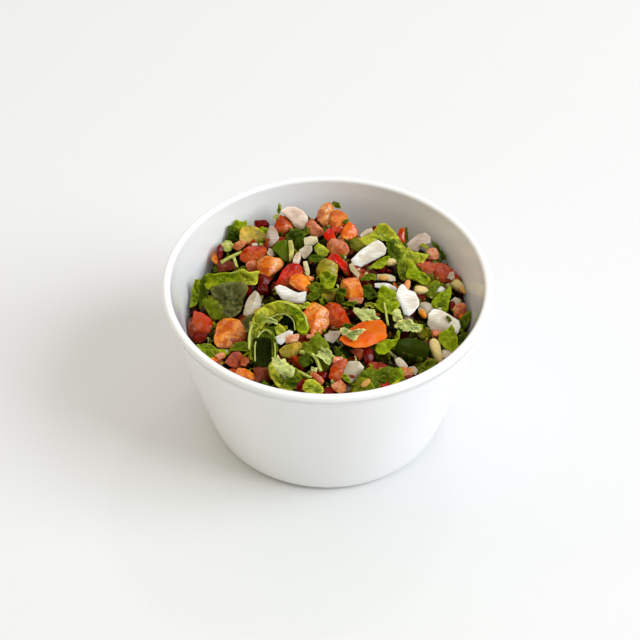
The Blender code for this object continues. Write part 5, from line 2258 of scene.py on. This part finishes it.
SEEDS = (
    Bit((391, 262), (4.2, 3.6, 2.4), T.SEED_CREAM, 0, 0.5, 0.6),
    Bit((384, 278), (3.5, 2.2, 1.2), T.SEED_TAN, 0, 0.5, 2),
    Bit((407, 285), (4.2, 3, 2.4), T.SEED_SALMON, 70, 0.5, 3),
    Bit((421, 290), (5.2, 3.8, 2.8), T.SEED_CREAM, 0, 0.5, 1.8),
    Bit((458, 286), (6, 4.4, 3.2), T.SEED_CREAM, -50, 0.5, 0.8),
    Bit((462, 290), (3.4, 2.4, 1.8), T.SEED_TAN, -50, 0.5, 2.4),
    Bit((423, 314), (3.5, 2.6, 2), T.SEED_AMBER, -60, 0.6, 1.8),
    Bit((436, 351), (9.2, 4.4, 3.2), T.SEED_CREAM, -75, 0.6, 1.2),
    Bit((366, 383), (4, 2.6, 1.5), T.SEED_TAN, 40, 0.6, 3.4),
)
# Where the heap ends against the back of the bowl, from left to right.
FAR_EDGE = (
    "190,300 196,276 206,262 216,244 226,232 240,226 262,224 277,216 300,210 322,208 341,212 349,226 "
    "360,229 372,229 386,228 398,236 410,240 424,240 440,252 456,268 466,284 474,304 480,322"
)
JELLY = (Bit((426, 309), (6, 5, 3.6), T.GLASS, -40, 0.6, 1.6),)
# fmt: on


# ---- The kinds of food ----


@dataclass(frozen=True)
class Knife:
    """How the drawn pieces of one kind are finished.

    Attributes:
        points: round each edge.
        round: share of its sides by which its corners are cut off.
        lump: height of broad lumps, metres.
        grain: height of fine grain, metres.
        facets: flat cuts across the corners.
        grow: how far the edges run on under their neighbours.
        other: the second faces' colour.
        shift: how far the edge between the faces lies off the middle.
        steeper: how much steeper the lower faces are.
    """

    points: int
    round: float
    lump: float
    grain: float
    facets: int
    grow: float
    other: Tone
    shift: float = 0.0
    steeper: float = 0.2

    def cut(self, stock: Stock, pieces: tuple[Drawn, ...], rng: random.Random) -> None:
        """Cuts drawn pieces and puts them in the bowl.

        Args:
            stock: what they are added to.
            pieces: the pieces.
            rng: source of their unevenness.
        """
        for piece in pieces:
            point, turned, corners = stock.heap.drawn(piece)
            edge = self.grow * spread(rounded(corners, self.round), self.points)
            edge *= 1.0 + 0.02 * lumps(edge, 0.9 * MM, rng)[:, None]
            face = Face(
                ridge=math.radians(piece.ridge),
                roof=piece.roof,
                shift=self.shift + rng.uniform(-0.2, 0.2),
                lump=self.lump,
                grain=self.grain,
                skin=piece.skin,
                facets=self.facets if piece.roof > 0.0 else 0,
                steeper=self.steeper,
            )
            down = turned.T @ unit(0.7 * stock.heap.picture.view - 0.3 * turned[:, 2])
            shape = slab(edge, piece.thick * MM, face, down, rng)
            share = piece.blend * min(1.0, (max(piece.tone.value) / 0.5) ** 2)
            second = share * np.clip(0.62 - shape.mark[:, 2:3], 0.0, 0.25) / 0.25
            first = own_tint(piece.tone, rng, 0.05)
            tint = first * (1.0 - second) + own_tint(self.other, rng, 0.05) * second
            stock.add(shape, point, turned, tint)


# Angle, in degrees, above which an edge of a cut piece shows as one.
CRISP_EDGE = 34.0


@dataclass
class CutKind:
    """One kind of cut pieces, joined into one object.

    Attributes:
        heap: what they lie on.
        name: the object's name.
        bits: its pieces of set size.
        seed: of the random draws.
        finish: what they are made of.
        cut: how the pieces of set size are cut.
        skin: 1 has skin above, -1 below, 0 has none.
        sink: how far a piece's middle is under its level, as a share of its thickness.
        stray: how far their colours stray.
        crisp: angle above which an edge shows as one, degrees.
        drawn: its drawn pieces.
        knife: how the drawn ones are cut.
        filler: name of its kind among the fillers.
    """

    heap: Heap
    name: str
    bits: tuple[Bit, ...]
    seed: int
    finish: Finish
    cut: Cut = Cut()
    skin: int = 0
    sink: float = 0.3
    stray: float = 0.05
    crisp: float = 180.0
    drawn: tuple[Drawn, ...] = ()
    knife: Knife | None = None
    filler: str = ""

    def cut_of(self, bit: Bit, rng: random.Random) -> Cut:
        """How one piece is cut; a kind may draw it anew for each piece."""
        return self.cut

    def build(self, fillers: "Fillers") -> bpy.types.Object:
        """Cuts and places every piece.

        Args:
            fillers: pieces of no special place.

        Returns:
            The joined object.
        """
        rng = random.Random(self.seed)
        stock = Stock(self.name, self.heap, self.crisp)
        for bit in self.bits:
            cut = self.cut_of(bit, rng)
            point, turned = self.heap.seat(bit, self.sink * bit.extent[2])
            shape = block(bit.extent, cut, self.skin, rng)
            stock.add(shape, point, turned, own_tint(bit.tone, rng, self.stray))
        if self.knife:
            self.knife.cut(stock, self.drawn, rng)
            fillers.add_blocks(stock, self.filler)
        return finish_food(stock.make(self.finish.material()))


@dataclass
class TomatoCuts(CutKind):
    """Dice and thin cuts of tomato, and one curved sheet of its skin."""

    name: str = "tomato_cuts"
    bits: tuple[Bit, ...] = TOMATO
    seed: int = 21
    finish: Finish = TOMATO_FLESH
    skin: int = -1
    stray: float = 0.10
    crisp: float = CRISP_EDGE
    drawn: tuple[Drawn, ...] = TOMATO_DRAWN
    knife: Knife | None = Knife(72, 0.10, 0.09 * MM, 0.03 * MM, 2, 1.10, Tone.SALMON)
    filler: str = "tomato"

    def cut_of(self, bit: Bit, rng: random.Random) -> Cut:
        """Draws how one piece is cut.

        Args:
            bit: the piece.
            rng: source of its unevenness.

        Returns:
            How it is cut.
        """
        return Cut(
            cuts=13 if max(bit.size) > 6.5 else 9,
            crisp=rng.uniform(9.0, 16.0),
            bow=rng.uniform(-0.03, 0.03),
            taper=rng.uniform(0.0, 0.2),
        )


@dataclass
class OnionCuts(CutKind):
    """Bent slabs and slivers of onion."""

    name: str = "onion_cuts"
    bits: tuple[Bit, ...] = ONION
    seed: int = 22
    finish: Finish = ONION_FLESH
    sink: float = 0.0
    stray: float = 0.04
    crisp: float = CRISP_EDGE
    drawn: tuple[Drawn, ...] = ONION_DRAWN
    knife: Knife | None = Knife(64, 0.05, 0.02 * MM, 0.0, 0, 1.03, Tone.GLASS, -0.3, 0.6)
    filler: str = "onion"

    def cut_of(self, bit: Bit, rng: random.Random) -> Cut:
        """Draws how one piece is cut.

        Args:
            bit: the piece.
            rng: source of its unevenness.

        Returns:
            How it is cut.
        """
        return Cut(
            crisp=rng.uniform(16.0, 24.0),
            stray=0.16,
            chops=2,
            dent=0.03,
            bow=rng.uniform(0.05, 0.12),
            cup=-rng.uniform(0.02, 0.10),
            taper=rng.uniform(0.0, 0.35),
            grain=0.04 * MM,
        )


@dataclass
class GreenCuts(CutKind):
    """Green pepper, unripe tomato and a thick cut of chilli."""

    name: str = "green_cuts"
    bits: tuple[Bit, ...] = GREEN_CUT
    seed: int = 23
    finish: Finish = GREEN_FLESH
    cut: Cut = Cut(cuts=13, crisp=12.0, grain=0.2 * MM)
    skin: int = -1
    stray: float = 0.06
    crisp: float = CRISP_EDGE
    drawn: tuple[Drawn, ...] = GREEN_DRAWN
    knife: Knife | None = Knife(64, 0.08, 0.06 * MM, 0.02 * MM, 1, 1.05, Tone.PALE_GREEN)
    filler: str = "green"


@dataclass
class Seeds(CutKind):
    """Loose seeds."""

    name: str = "loose_seeds"
    bits: tuple[Bit, ...] = SEEDS
    seed: int = 26
    finish: Finish = SeedCoat("seed_coat")
    cut: Cut = Cut(cuts=10, crisp=2.4, stray=0.05, chops=0, taper=0.35, bow=0.04, grain=0.03 * MM)


@dataclass
class JellyDrops(CutKind):
    """Clear jelly round one of the seeds."""

    name: str = "seed_jelly"
    bits: tuple[Bit, ...] = JELLY
    seed: int = 27
    finish: Finish = Jelly("seed_jelly")
    cut: Cut = Cut(cuts=10, crisp=2.3, stray=0.1, chops=1, grain=0.02 * MM)


@dataclass
class HerbLeaves:
    """Torn and cut leaves of the herb."""

    heap: Heap
    seed: int = 24
    rise: float = 0.8 * MM

    def build(self, fillers: "Fillers") -> bpy.types.Object:
        """Shapes and lays every leaf.

        Args:
            fillers: pieces of no special place.

        Returns:
            The joined object.
        """
        rng = random.Random(self.seed)
        stock = Stock("herb_leaves", self.heap)
        for bit in LEAF_BITS:
            hang = Hang(
                fold=rng.uniform(0.04, 0.26),
                droop=rng.uniform(0.05, 0.12) * bit.extent[0] + 0.2 * bit.lift * MM,
                ruffle=rng.uniform(0.04, 0.09),
                waves=rng.choice((2, 3, 4)),
                roll=rng.choice((0.3, 0.8, 1.3, -0.7)),
                twist=rng.uniform(-0.6, 0.6),
                crease=rng.uniform(0.20, 0.40) * MM,
            )
            point, turned = self.heap.seat(bit, -self.rise)
            edge = leaf_edge(bit.extent, bit.form.value, 4 * bit.form.value.teeth, rng)
            stock.add(leaf(edge, hang, 4, rng), point, turned, own_tint(bit.tone, rng))
        for piece in LEAVES_DRAWN:
            point, turned, corners = self.heap.drawn(piece)
            count = int(np.clip(np.ptp(corners, axis=0).sum() / (0.20 * MM), 40, 124))
            edge = 1.10 * spread(rounded(corners, 0.12), count)
            edge = serrated(edge, piece.teeth * MM, rng.uniform(1.1, 1.7) * MM, rng)
            hang = Hang(
                fold=rng.uniform(0.02, 0.14),
                droop=rng.uniform(0.02, 0.05) * np.ptp(edge[:, 0]),
                ruffle=rng.uniform(0.03, 0.07),
                waves=rng.choice((2, 3, 4)),
                roll=piece.roll * rng.choice((1.0, -1.0)),
                twist=rng.uniform(-0.3, 0.3),
                crease=piece.crease * MM,
            )
            stock.add(leaf(edge, hang, 5, rng), point, turned, own_tint(piece.tone, rng, 0.06))
        fillers.add_leaves(stock)
        return finish_food(stock.make(LeafFinish("herb_leaf").material()))


@dataclass
class Stalks:
    """Light green stalks that lie between the leaves."""

    heap: Heap
    seed: int = 25

    def build(self, fillers: "Fillers") -> bpy.types.Object:
        """Lays every stalk.

        Args:
            fillers: pieces of no special place.

        Returns:
            The joined object.
        """
        rng = random.Random(self.seed)
        stock = Stock("herb_stalks", self.heap)
        for drawn in STALK:
            lift = drawn.lift * MM
            route = np.array([self.heap.sight_point(spot, lift) for spot in spots_of(drawn.line)])
            shape = stalk(route, drawn.thick * MM, rng)
            stock.add(shape, np.zeros(3), np.eye(3), own_tint(Tone.LIME, rng))
        fillers.add_stalks(stock)
        return finish_food(stock.make(StalkFinish("herb_stalk").material()))


@dataclass
class Fillers:
    """Pieces of no special place: under the named ones, and where the lip hides the heap.

    Attributes:
        heap: what they lie on.
        pitch: their spacing, metres.
        clear: a place nearer than this to a named piece gets a sunk one, in darker tones as painted shade.
        deep: how far those lie under the level, metres.
        margin: what stays free inside the heap's reach, metres.
        hidden_by_lip: the lip hides what has a smaller Y than this.
        seed: of the random draws.
    """

    heap: Heap
    pitch: float = 4.6 * MM
    clear: float = 4.4 * MM
    deep: float = 3.5 * MM
    margin: float = 1.6 * MM
    hidden_by_lip: float = -36.0 * MM
    seed: int = 31

    SHARES = (*("leaf", "tomato", "leaf") * 2, "onion", "leaf", "tomato", "leaf", "green", "stalk")
    TOP = {
        "tomato": (Tone.SALMON, Tone.ORANGE, Tone.FIRE, Tone.PINK, Tone.DEEP),
        "onion": (Tone.WHITE, Tone.CREAM, Tone.GLASS, Tone.LILAC),
        "green": (Tone.LIME_FLESH, Tone.GREEN, Tone.OLIVE_YELLOW),
        "leaf": (Tone.BRIGHT, Tone.MID, Tone.LIME, Tone.MID, Tone.MID, Tone.DARK),
        "stalk": (Tone.LIME,),
    }
    # Darker tones for the sunk fillers: painted shade under the named pieces.
    SUNK_SHADE_TONES = {
        "tomato": (Tone.DEEP, Tone.BROWN, Tone.MAROON, Tone.FIRE),
        "onion": (Tone.GLASS, Tone.LILAC),
        "green": (Tone.DARK_OLIVE, Tone.OLIVE_YELLOW),
        "leaf": (Tone.DARK, Tone.MID, Tone.DARK, Tone.OLIVE),
        "stalk": (Tone.OLIVE,),
    }

    def __post_init__(self) -> None:
        """Finds their places and draws their kinds."""
        rng = random.Random(self.seed)
        taken = [self.heap.sight_point(bit.spot, 0.0) for bit in TOMATO + ONION + GREEN_CUT + LEAF_BITS]
        drawn = TOMATO_DRAWN + ONION_DRAWN + GREEN_DRAWN + LEAVES_DRAWN
        taken = np.array(taken + [self.heap.drawn(piece)[0] for piece in drawn])
        outermost = self.heap.mound.reach - self.margin
        rings = round(outermost / self.pitch)
        self.places: dict[str, list[tuple[float, float, bool]]] = {kind: [] for kind in self.TOP}
        for ring in range(rings + 1):
            radius = outermost * ring / rings
            count = max(1, round(math.tau * radius / self.pitch))
            for step in range(count):
                angle = math.tau * (step + rng.uniform(-0.3, 0.3)) / count + ring
                x = (radius + rng.uniform(-1.0, 1.0) * MM) * math.cos(angle)
                y = (radius + rng.uniform(-1.0, 1.0) * MM) * math.sin(angle)
                free = np.hypot(taken[:, 0] - x, taken[:, 1] - y).min() > self.clear
                self.places[rng.choice(self.SHARES)].append((x, y, bool(free)))

    def frames(self, kind: str, rng: random.Random) -> Iterator[tuple[Array, Array, Array, bool]]:
        """Works out how each filler of a kind lies.

        Args:
            kind: of the fillers.
            rng: source of their unevenness.

        Yields:
            Its point, its axes, its colour and whether it lies on the heap, not sunk in it.
        """
        for x, y, free in self.places[kind]:
            shown = free and y < self.hidden_by_lip
            low = rng.uniform(0.2, 0.8) * MM if shown else self.deep + rng.uniform(-1.0, 1.0) * MM
            point = np.array([x, y, self.heap.level(x, y) - low])
            angle = rng.uniform(0.0, math.tau)
            up = unit(self.heap.mound.normal(x, y) + draw(rng, -0.4, 0.4, 3))
            along = np.array([math.cos(angle), math.sin(angle), rng.uniform(-0.4, 0.4)])
            tone = rng.choice((self.TOP if shown else self.SUNK_SHADE_TONES)[kind])
            yield point, axes(up, along), own_tint(tone, rng, 0.14), shown

    def add_blocks(self, stock: Stock, kind: str) -> None:
        """Adds the blocks of a kind to its stock.

        Args:
            stock: what they are added to.
            kind: of the fillers.
        """
        rng = random.Random(f"{self.seed} {kind}")
        flat = kind == "onion"
        bow = 0.08 if flat else 0.0
        for point, turned, tint, shown in self.frames(kind, rng):
            length = rng.uniform(4.5, 8.0) * MM
            breadth = rng.uniform(0.6, 0.9) * length
            depth = 2.8 * MM if flat else 0.66 * length
            cuts = 9 if shown else 6
            cut = Cut(cuts, crisp=rng.uniform(9.0, 16.0), bow=bow, taper=rng.uniform(0.0, 0.3))
            skin = 0 if flat else rng.choice((1, -1, 0))
            stock.add(block((length, breadth, depth), cut, skin, rng), point, turned, tint)

    def add_leaves(self, stock: Stock) -> None:
        """Adds the leaf scraps.

        Args:
            stock: what they are added to.
        """
        rng = random.Random(f"{self.seed} leaf")
        forms = (Leaf.FAN, Leaf.OVAL, Leaf.TORN, Leaf.SPEAR, Leaf.SAW, Leaf.SPRIG)
        for point, turned, tint, shown in self.frames("leaf", rng):
            length = rng.uniform(6.0, 11.0) * MM
            breadth = rng.uniform(0.5, 0.85) * length
            hang = Hang(rng.uniform(0.05, 0.3), rng.uniform(0.1, 0.2) * length, rng.uniform(0.03, 0.08))
            lifted = point + (0.8 if shown else 0.4) * MM * UP
            edge = leaf_edge((length, breadth), rng.choice(forms).value, 44, rng)
            stock.add(leaf(edge, hang, 3, rng), lifted, turned, tint)

    def add_stalks(self, stock: Stock) -> None:
        """Adds short stalks.

        Args:
            stock: what they are added to.
        """
        rng = random.Random(f"{self.seed} stalk")
        for point, turned, tint, _ in self.frames("stalk", rng):
            half = rng.uniform(2.5, 5.0) * MM
            bend = turned[:, 1] * rng.uniform(-1.0, 1.0) * MM
            route = np.array([point - half * turned[:, 0], point + bend, point + half * turned[:, 0]])
            stock.add(stalk(route, rng.uniform(0.9, 1.5) * MM, rng), np.zeros(3), np.eye(3), tint)


@dataclass
class Crumbs:
    """The finest chopped bits: they gather in the gaps and stick to the rest.

    Attributes:
        heap: what they lie on.
        count: places that are tried.
        hollow: a place this far under the level always gets one, metres.
        least: chance of one on top of a piece.
        shares: of shreds of leaf, bits of tomato and bits of onion.
        margin: what stays free inside the heap's reach, metres.
        gap: place in the picture of the dark gap that has none.
        gap_reach: how far the gap reaches, metres.
        seed: of the random draws.
    """

    heap: Heap
    count: int = 2600
    hollow: float = 2.2 * MM
    least: float = 0.008
    shares: tuple[float, ...] = (0.84, 0.10, 0.06)
    margin: float = 1.5 * MM
    gap: tuple[int, int] = (262, 353)
    gap_reach: float = 3.2 * MM
    seed: int = 41

    LEAF = (Tone.BRIGHT, Tone.MID, Tone.LIME, Tone.PALE, Tone.MID, Tone.DARK, Tone.BRIGHT)
    PULP = (Tone.SALMON, Tone.ORANGE, Tone.FIRE, Tone.DUSKY, Tone.DEEP, Tone.MAROON)
    BULB = (Tone.WHITE, Tone.GLASS, Tone.BLUSH, Tone.CREAM)

    def build(self) -> list[bpy.types.Object]:
        """Strews the crumbs of every kind.

        Returns:
            One object for each kind.
        """
        rng = random.Random(self.seed)
        stocks = {name: Stock(name, self.heap) for name in ("leaf_shreds", "tomato_bits", "onion_bits")}
        gap = self.heap.sight_point(self.gap, 0.0)
        for _ in range(self.count):
            angle = rng.uniform(0.0, math.tau)
            radius = (self.heap.mound.reach - self.margin) * math.sqrt(rng.random())
            x, y = radius * math.cos(angle), radius * math.sin(angle)
            height, up = self.heap.top.at(x, y)
            chance = (self.heap.level(x, y) - height) / self.hollow
            if height < self.heap.bowl.floor:
                continue
            if rng.random() > max(self.least, min(1.0, chance)):
                continue
            name = rng.choices(list(stocks), self.shares)[0]
            turned = axes(unit(up + draw(rng, -0.5, 0.5, 3)), draw(rng, -1.0, 1.0, 3))
            point = np.array([x, y, height + rng.uniform(0.0, 0.5) * MM])
            shape, tint = self.crumb(name, rng)
            if math.hypot(x - gap[0], y - gap[1]) > self.gap_reach:
                stocks[name].add(shape, point, turned, tint)
        finishes = (LeafFinish("shred_leaf"), TOMATO_FLESH, ONION_FLESH)
        pairs = zip(stocks.values(), finishes)
        return [finish_food(stock.make(finish.material())) for stock, finish in pairs]

    def crumb(self, name: str, rng: random.Random) -> tuple[Shape, Array]:
        """One crumb and its colour.

        Args:
            name: of its kind.
            rng: source of its form.

        Returns:
            Its shape and its tint.
        """
        length = rng.uniform(1.2, 3.6) * MM
        breadth = rng.uniform(0.35, 0.75) * length
        if name == "leaf_shreds":
            form = rng.choice((Leaf.TORN, Leaf.FAN, Leaf.SPEAR, Leaf.SAW)).value
            fold = rng.uniform(0.1, 0.4)
            hang = Hang(fold, 0.12 * length, 0.05, 2, rng.uniform(-1.2, 1.2), 0.4, 0.1 * MM)
            shape = leaf(leaf_edge((length, breadth), form, 22, rng), hang, 2, rng)
            return shape, own_tint(rng.choice(self.LEAF), rng, 0.2)
        tones = self.PULP if name == "tomato_bits" else self.BULB
        cut = Cut(cuts=4, crisp=rng.uniform(4.0, 9.0), stray=0.4, chops=2, grain=0.05 * MM)
        shape = block((0.8 * length, 0.8 * breadth, 0.5 * breadth), cut, 0, rng)
        return shape, own_tint(rng.choice(tones), rng, 0.15)


# ---- Studio ----


@dataclass(frozen=True)
class Glow:
    """A broad soft part of the surroundings, brightest in one direction, and its colour."""

    towards: tuple[float, float, float]
    light: tuple[float, float, float]


@dataclass(frozen=True)
class Lamp:
    """A square light that faces the dish.

    Attributes:
        name: the object's name.
        azimuth: its direction on the table, degrees from +X towards +Y.
        height: its direction above the table, degrees.
        distance: from the dish, metres.
        side: metres.
        power: watts.
        tint: its colour.
    """

    name: str
    azimuth: float
    height: float
    distance: float
    side: float
    power: float
    tint: tuple[float, float, float] = (1.0, 1.0, 1.0)

    def build(self) -> None:
        """Puts the light up."""
        azimuth = math.radians(self.azimuth)
        height = math.radians(self.height)
        flat = math.cos(height)
        way = np.array([flat * math.cos(azimuth), flat * math.sin(azimuth), math.sin(height)])
        light = bpy.data.lights.new(self.name, "AREA")
        light.shape = "SQUARE"
        light.size = self.side
        light.energy = self.power
        light.color = self.tint
        made = bpy.data.objects.new(self.name, light)
        turned = Matrix(axes(way, np.cross(way, UP)).tolist()).to_4x4()
        made.matrix_world = Matrix.Translation((self.distance * way).tolist()) @ turned
        bpy.context.scene.collection.objects.link(made)


@dataclass
class Studio:
    """Floor, light and camera."""

    picture: Picture
    floor_side: float = 6.0
    even: tuple[float, float, float] = (0.01, 0.01, 0.01)

    GLOWS = (
        Glow((0.0, -0.87, 0.5), (0.22, 0.18, 0.21)),
        Glow((-0.87, 0.0, 0.5), (0.45, 0.38, 0.22)),
        Glow((0.0, 0.87, 0.5), (0.73, 0.59, 0.75)),
        Glow((0.0, 0.0, 1.0), (0.59, 0.69, 0.58)),
    )
    LAMPS = (
        Lamp("key", -14.0, 38.0, 2.5, 1.6, 56.0, (0.86, 0.915, 0.98)),
        Lamp("glint_left", 167.0, 36.0, 1.5, 0.07, 0.45),
        Lamp("glint_back", 70.0, 52.0, 1.5, 0.07, 0.70),
        Lamp("glint_right", -35.0, 58.0, 1.5, 0.07, 0.55),
    )

    def build(self) -> None:
        """Sets up the plain studio."""
        self.floor()
        self.surroundings()
        for lamp in self.LAMPS:
            lamp.build()
        self.camera()
        bpy.context.scene.view_settings.view_transform = "Standard"

    def floor(self) -> None:
        """The pale floor."""
        half = 0.5 * self.floor_side
        mesh = bpy.data.meshes.new("floor")
        corners = [(x * half, y * half, 0.0) for x, y in ((-1, -1), (1, -1), (1, 1), (-1, 1))]
        mesh.from_pydata(corners, [], [(0, 1, 2, 3)])
        mesh.materials.append(TableTop("pale_floor").material())
        made = bpy.data.objects.new("floor", mesh)
        bpy.context.scene.collection.objects.link(made)
        made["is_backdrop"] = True

    def surroundings(self) -> None:
        """An even light from all round, and a few soft glows in it."""
        world = bpy.data.worlds.new("surroundings")
        world.use_nodes = True
        nodes = Nodes(world.node_tree)
        way = nodes.tree.nodes.new("ShaderNodeTexCoord").outputs["Generated"]
        light: tuple | Socket = self.even
        for glow in self.GLOWS:
            inputs = {0: way, 1: unit(np.array(glow.towards))}
            facing = nodes.add("ShaderNodeVectorMath", "Value", inputs, operation="DOT_PRODUCT")
            facing = nodes.sum("POWER", nodes.sum("MAXIMUM", facing, 0.0), 2.0)
            light = nodes.mix(1.0, light, nodes.mix(facing, (0.0, 0.0, 0.0), glow.light), "ADD")
        nodes.feed(world.node_tree.nodes["Background"].inputs["Color"], light)
        bpy.context.scene.world = world

    def camera(self) -> None:
        """The camera, at the photograph's angle."""
        data = bpy.data.cameras.new("eye")
        data.sensor_width = self.picture.sensor
        data.lens = self.picture.lens
        data.clip_start = 0.01
        made = bpy.data.objects.new("eye", data)
        turned = axes(-self.picture.view, RIGHT)
        placed = Matrix.Translation(self.picture.eye.tolist())
        made.matrix_world = placed @ Matrix(turned.tolist()).to_4x4()
        bpy.context.scene.collection.objects.link(made)
        bpy.context.scene.camera = made


# ---- Build ----

KINDS = (TomatoCuts, OnionCuts, GreenCuts, HerbLeaves, Stalks, Seeds, JellyDrops)


def write_sizes() -> None:
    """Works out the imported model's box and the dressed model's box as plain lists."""
    boxes = {"cad": CAD_BOX, "visual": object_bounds()}
    plain = {name: [[float(side) for side in corner] for corner in box] for name, box in boxes.items()}


def main() -> None:
    """Builds the dish and its salsa, piece by piece."""
    logging.basicConfig(level=logging.INFO, format="%(name)s: %(message)s")
    heap = Heap()
    fillers = Fillers(heap)
    Studio(heap.picture).build()
    built = [
        Bowl(heap).build(),
        SoakedCore(heap).build(),
        *(kind(heap).build(fillers) for kind in KINDS),
        *Crumbs(heap).build(),
    ]
    for made in built:
        log.info("%s: %d points, %d faces", made.name, len(made.data.vertices), len(made.data.polygons))
    write_sizes()


if __name__ == "__main__":
    main()
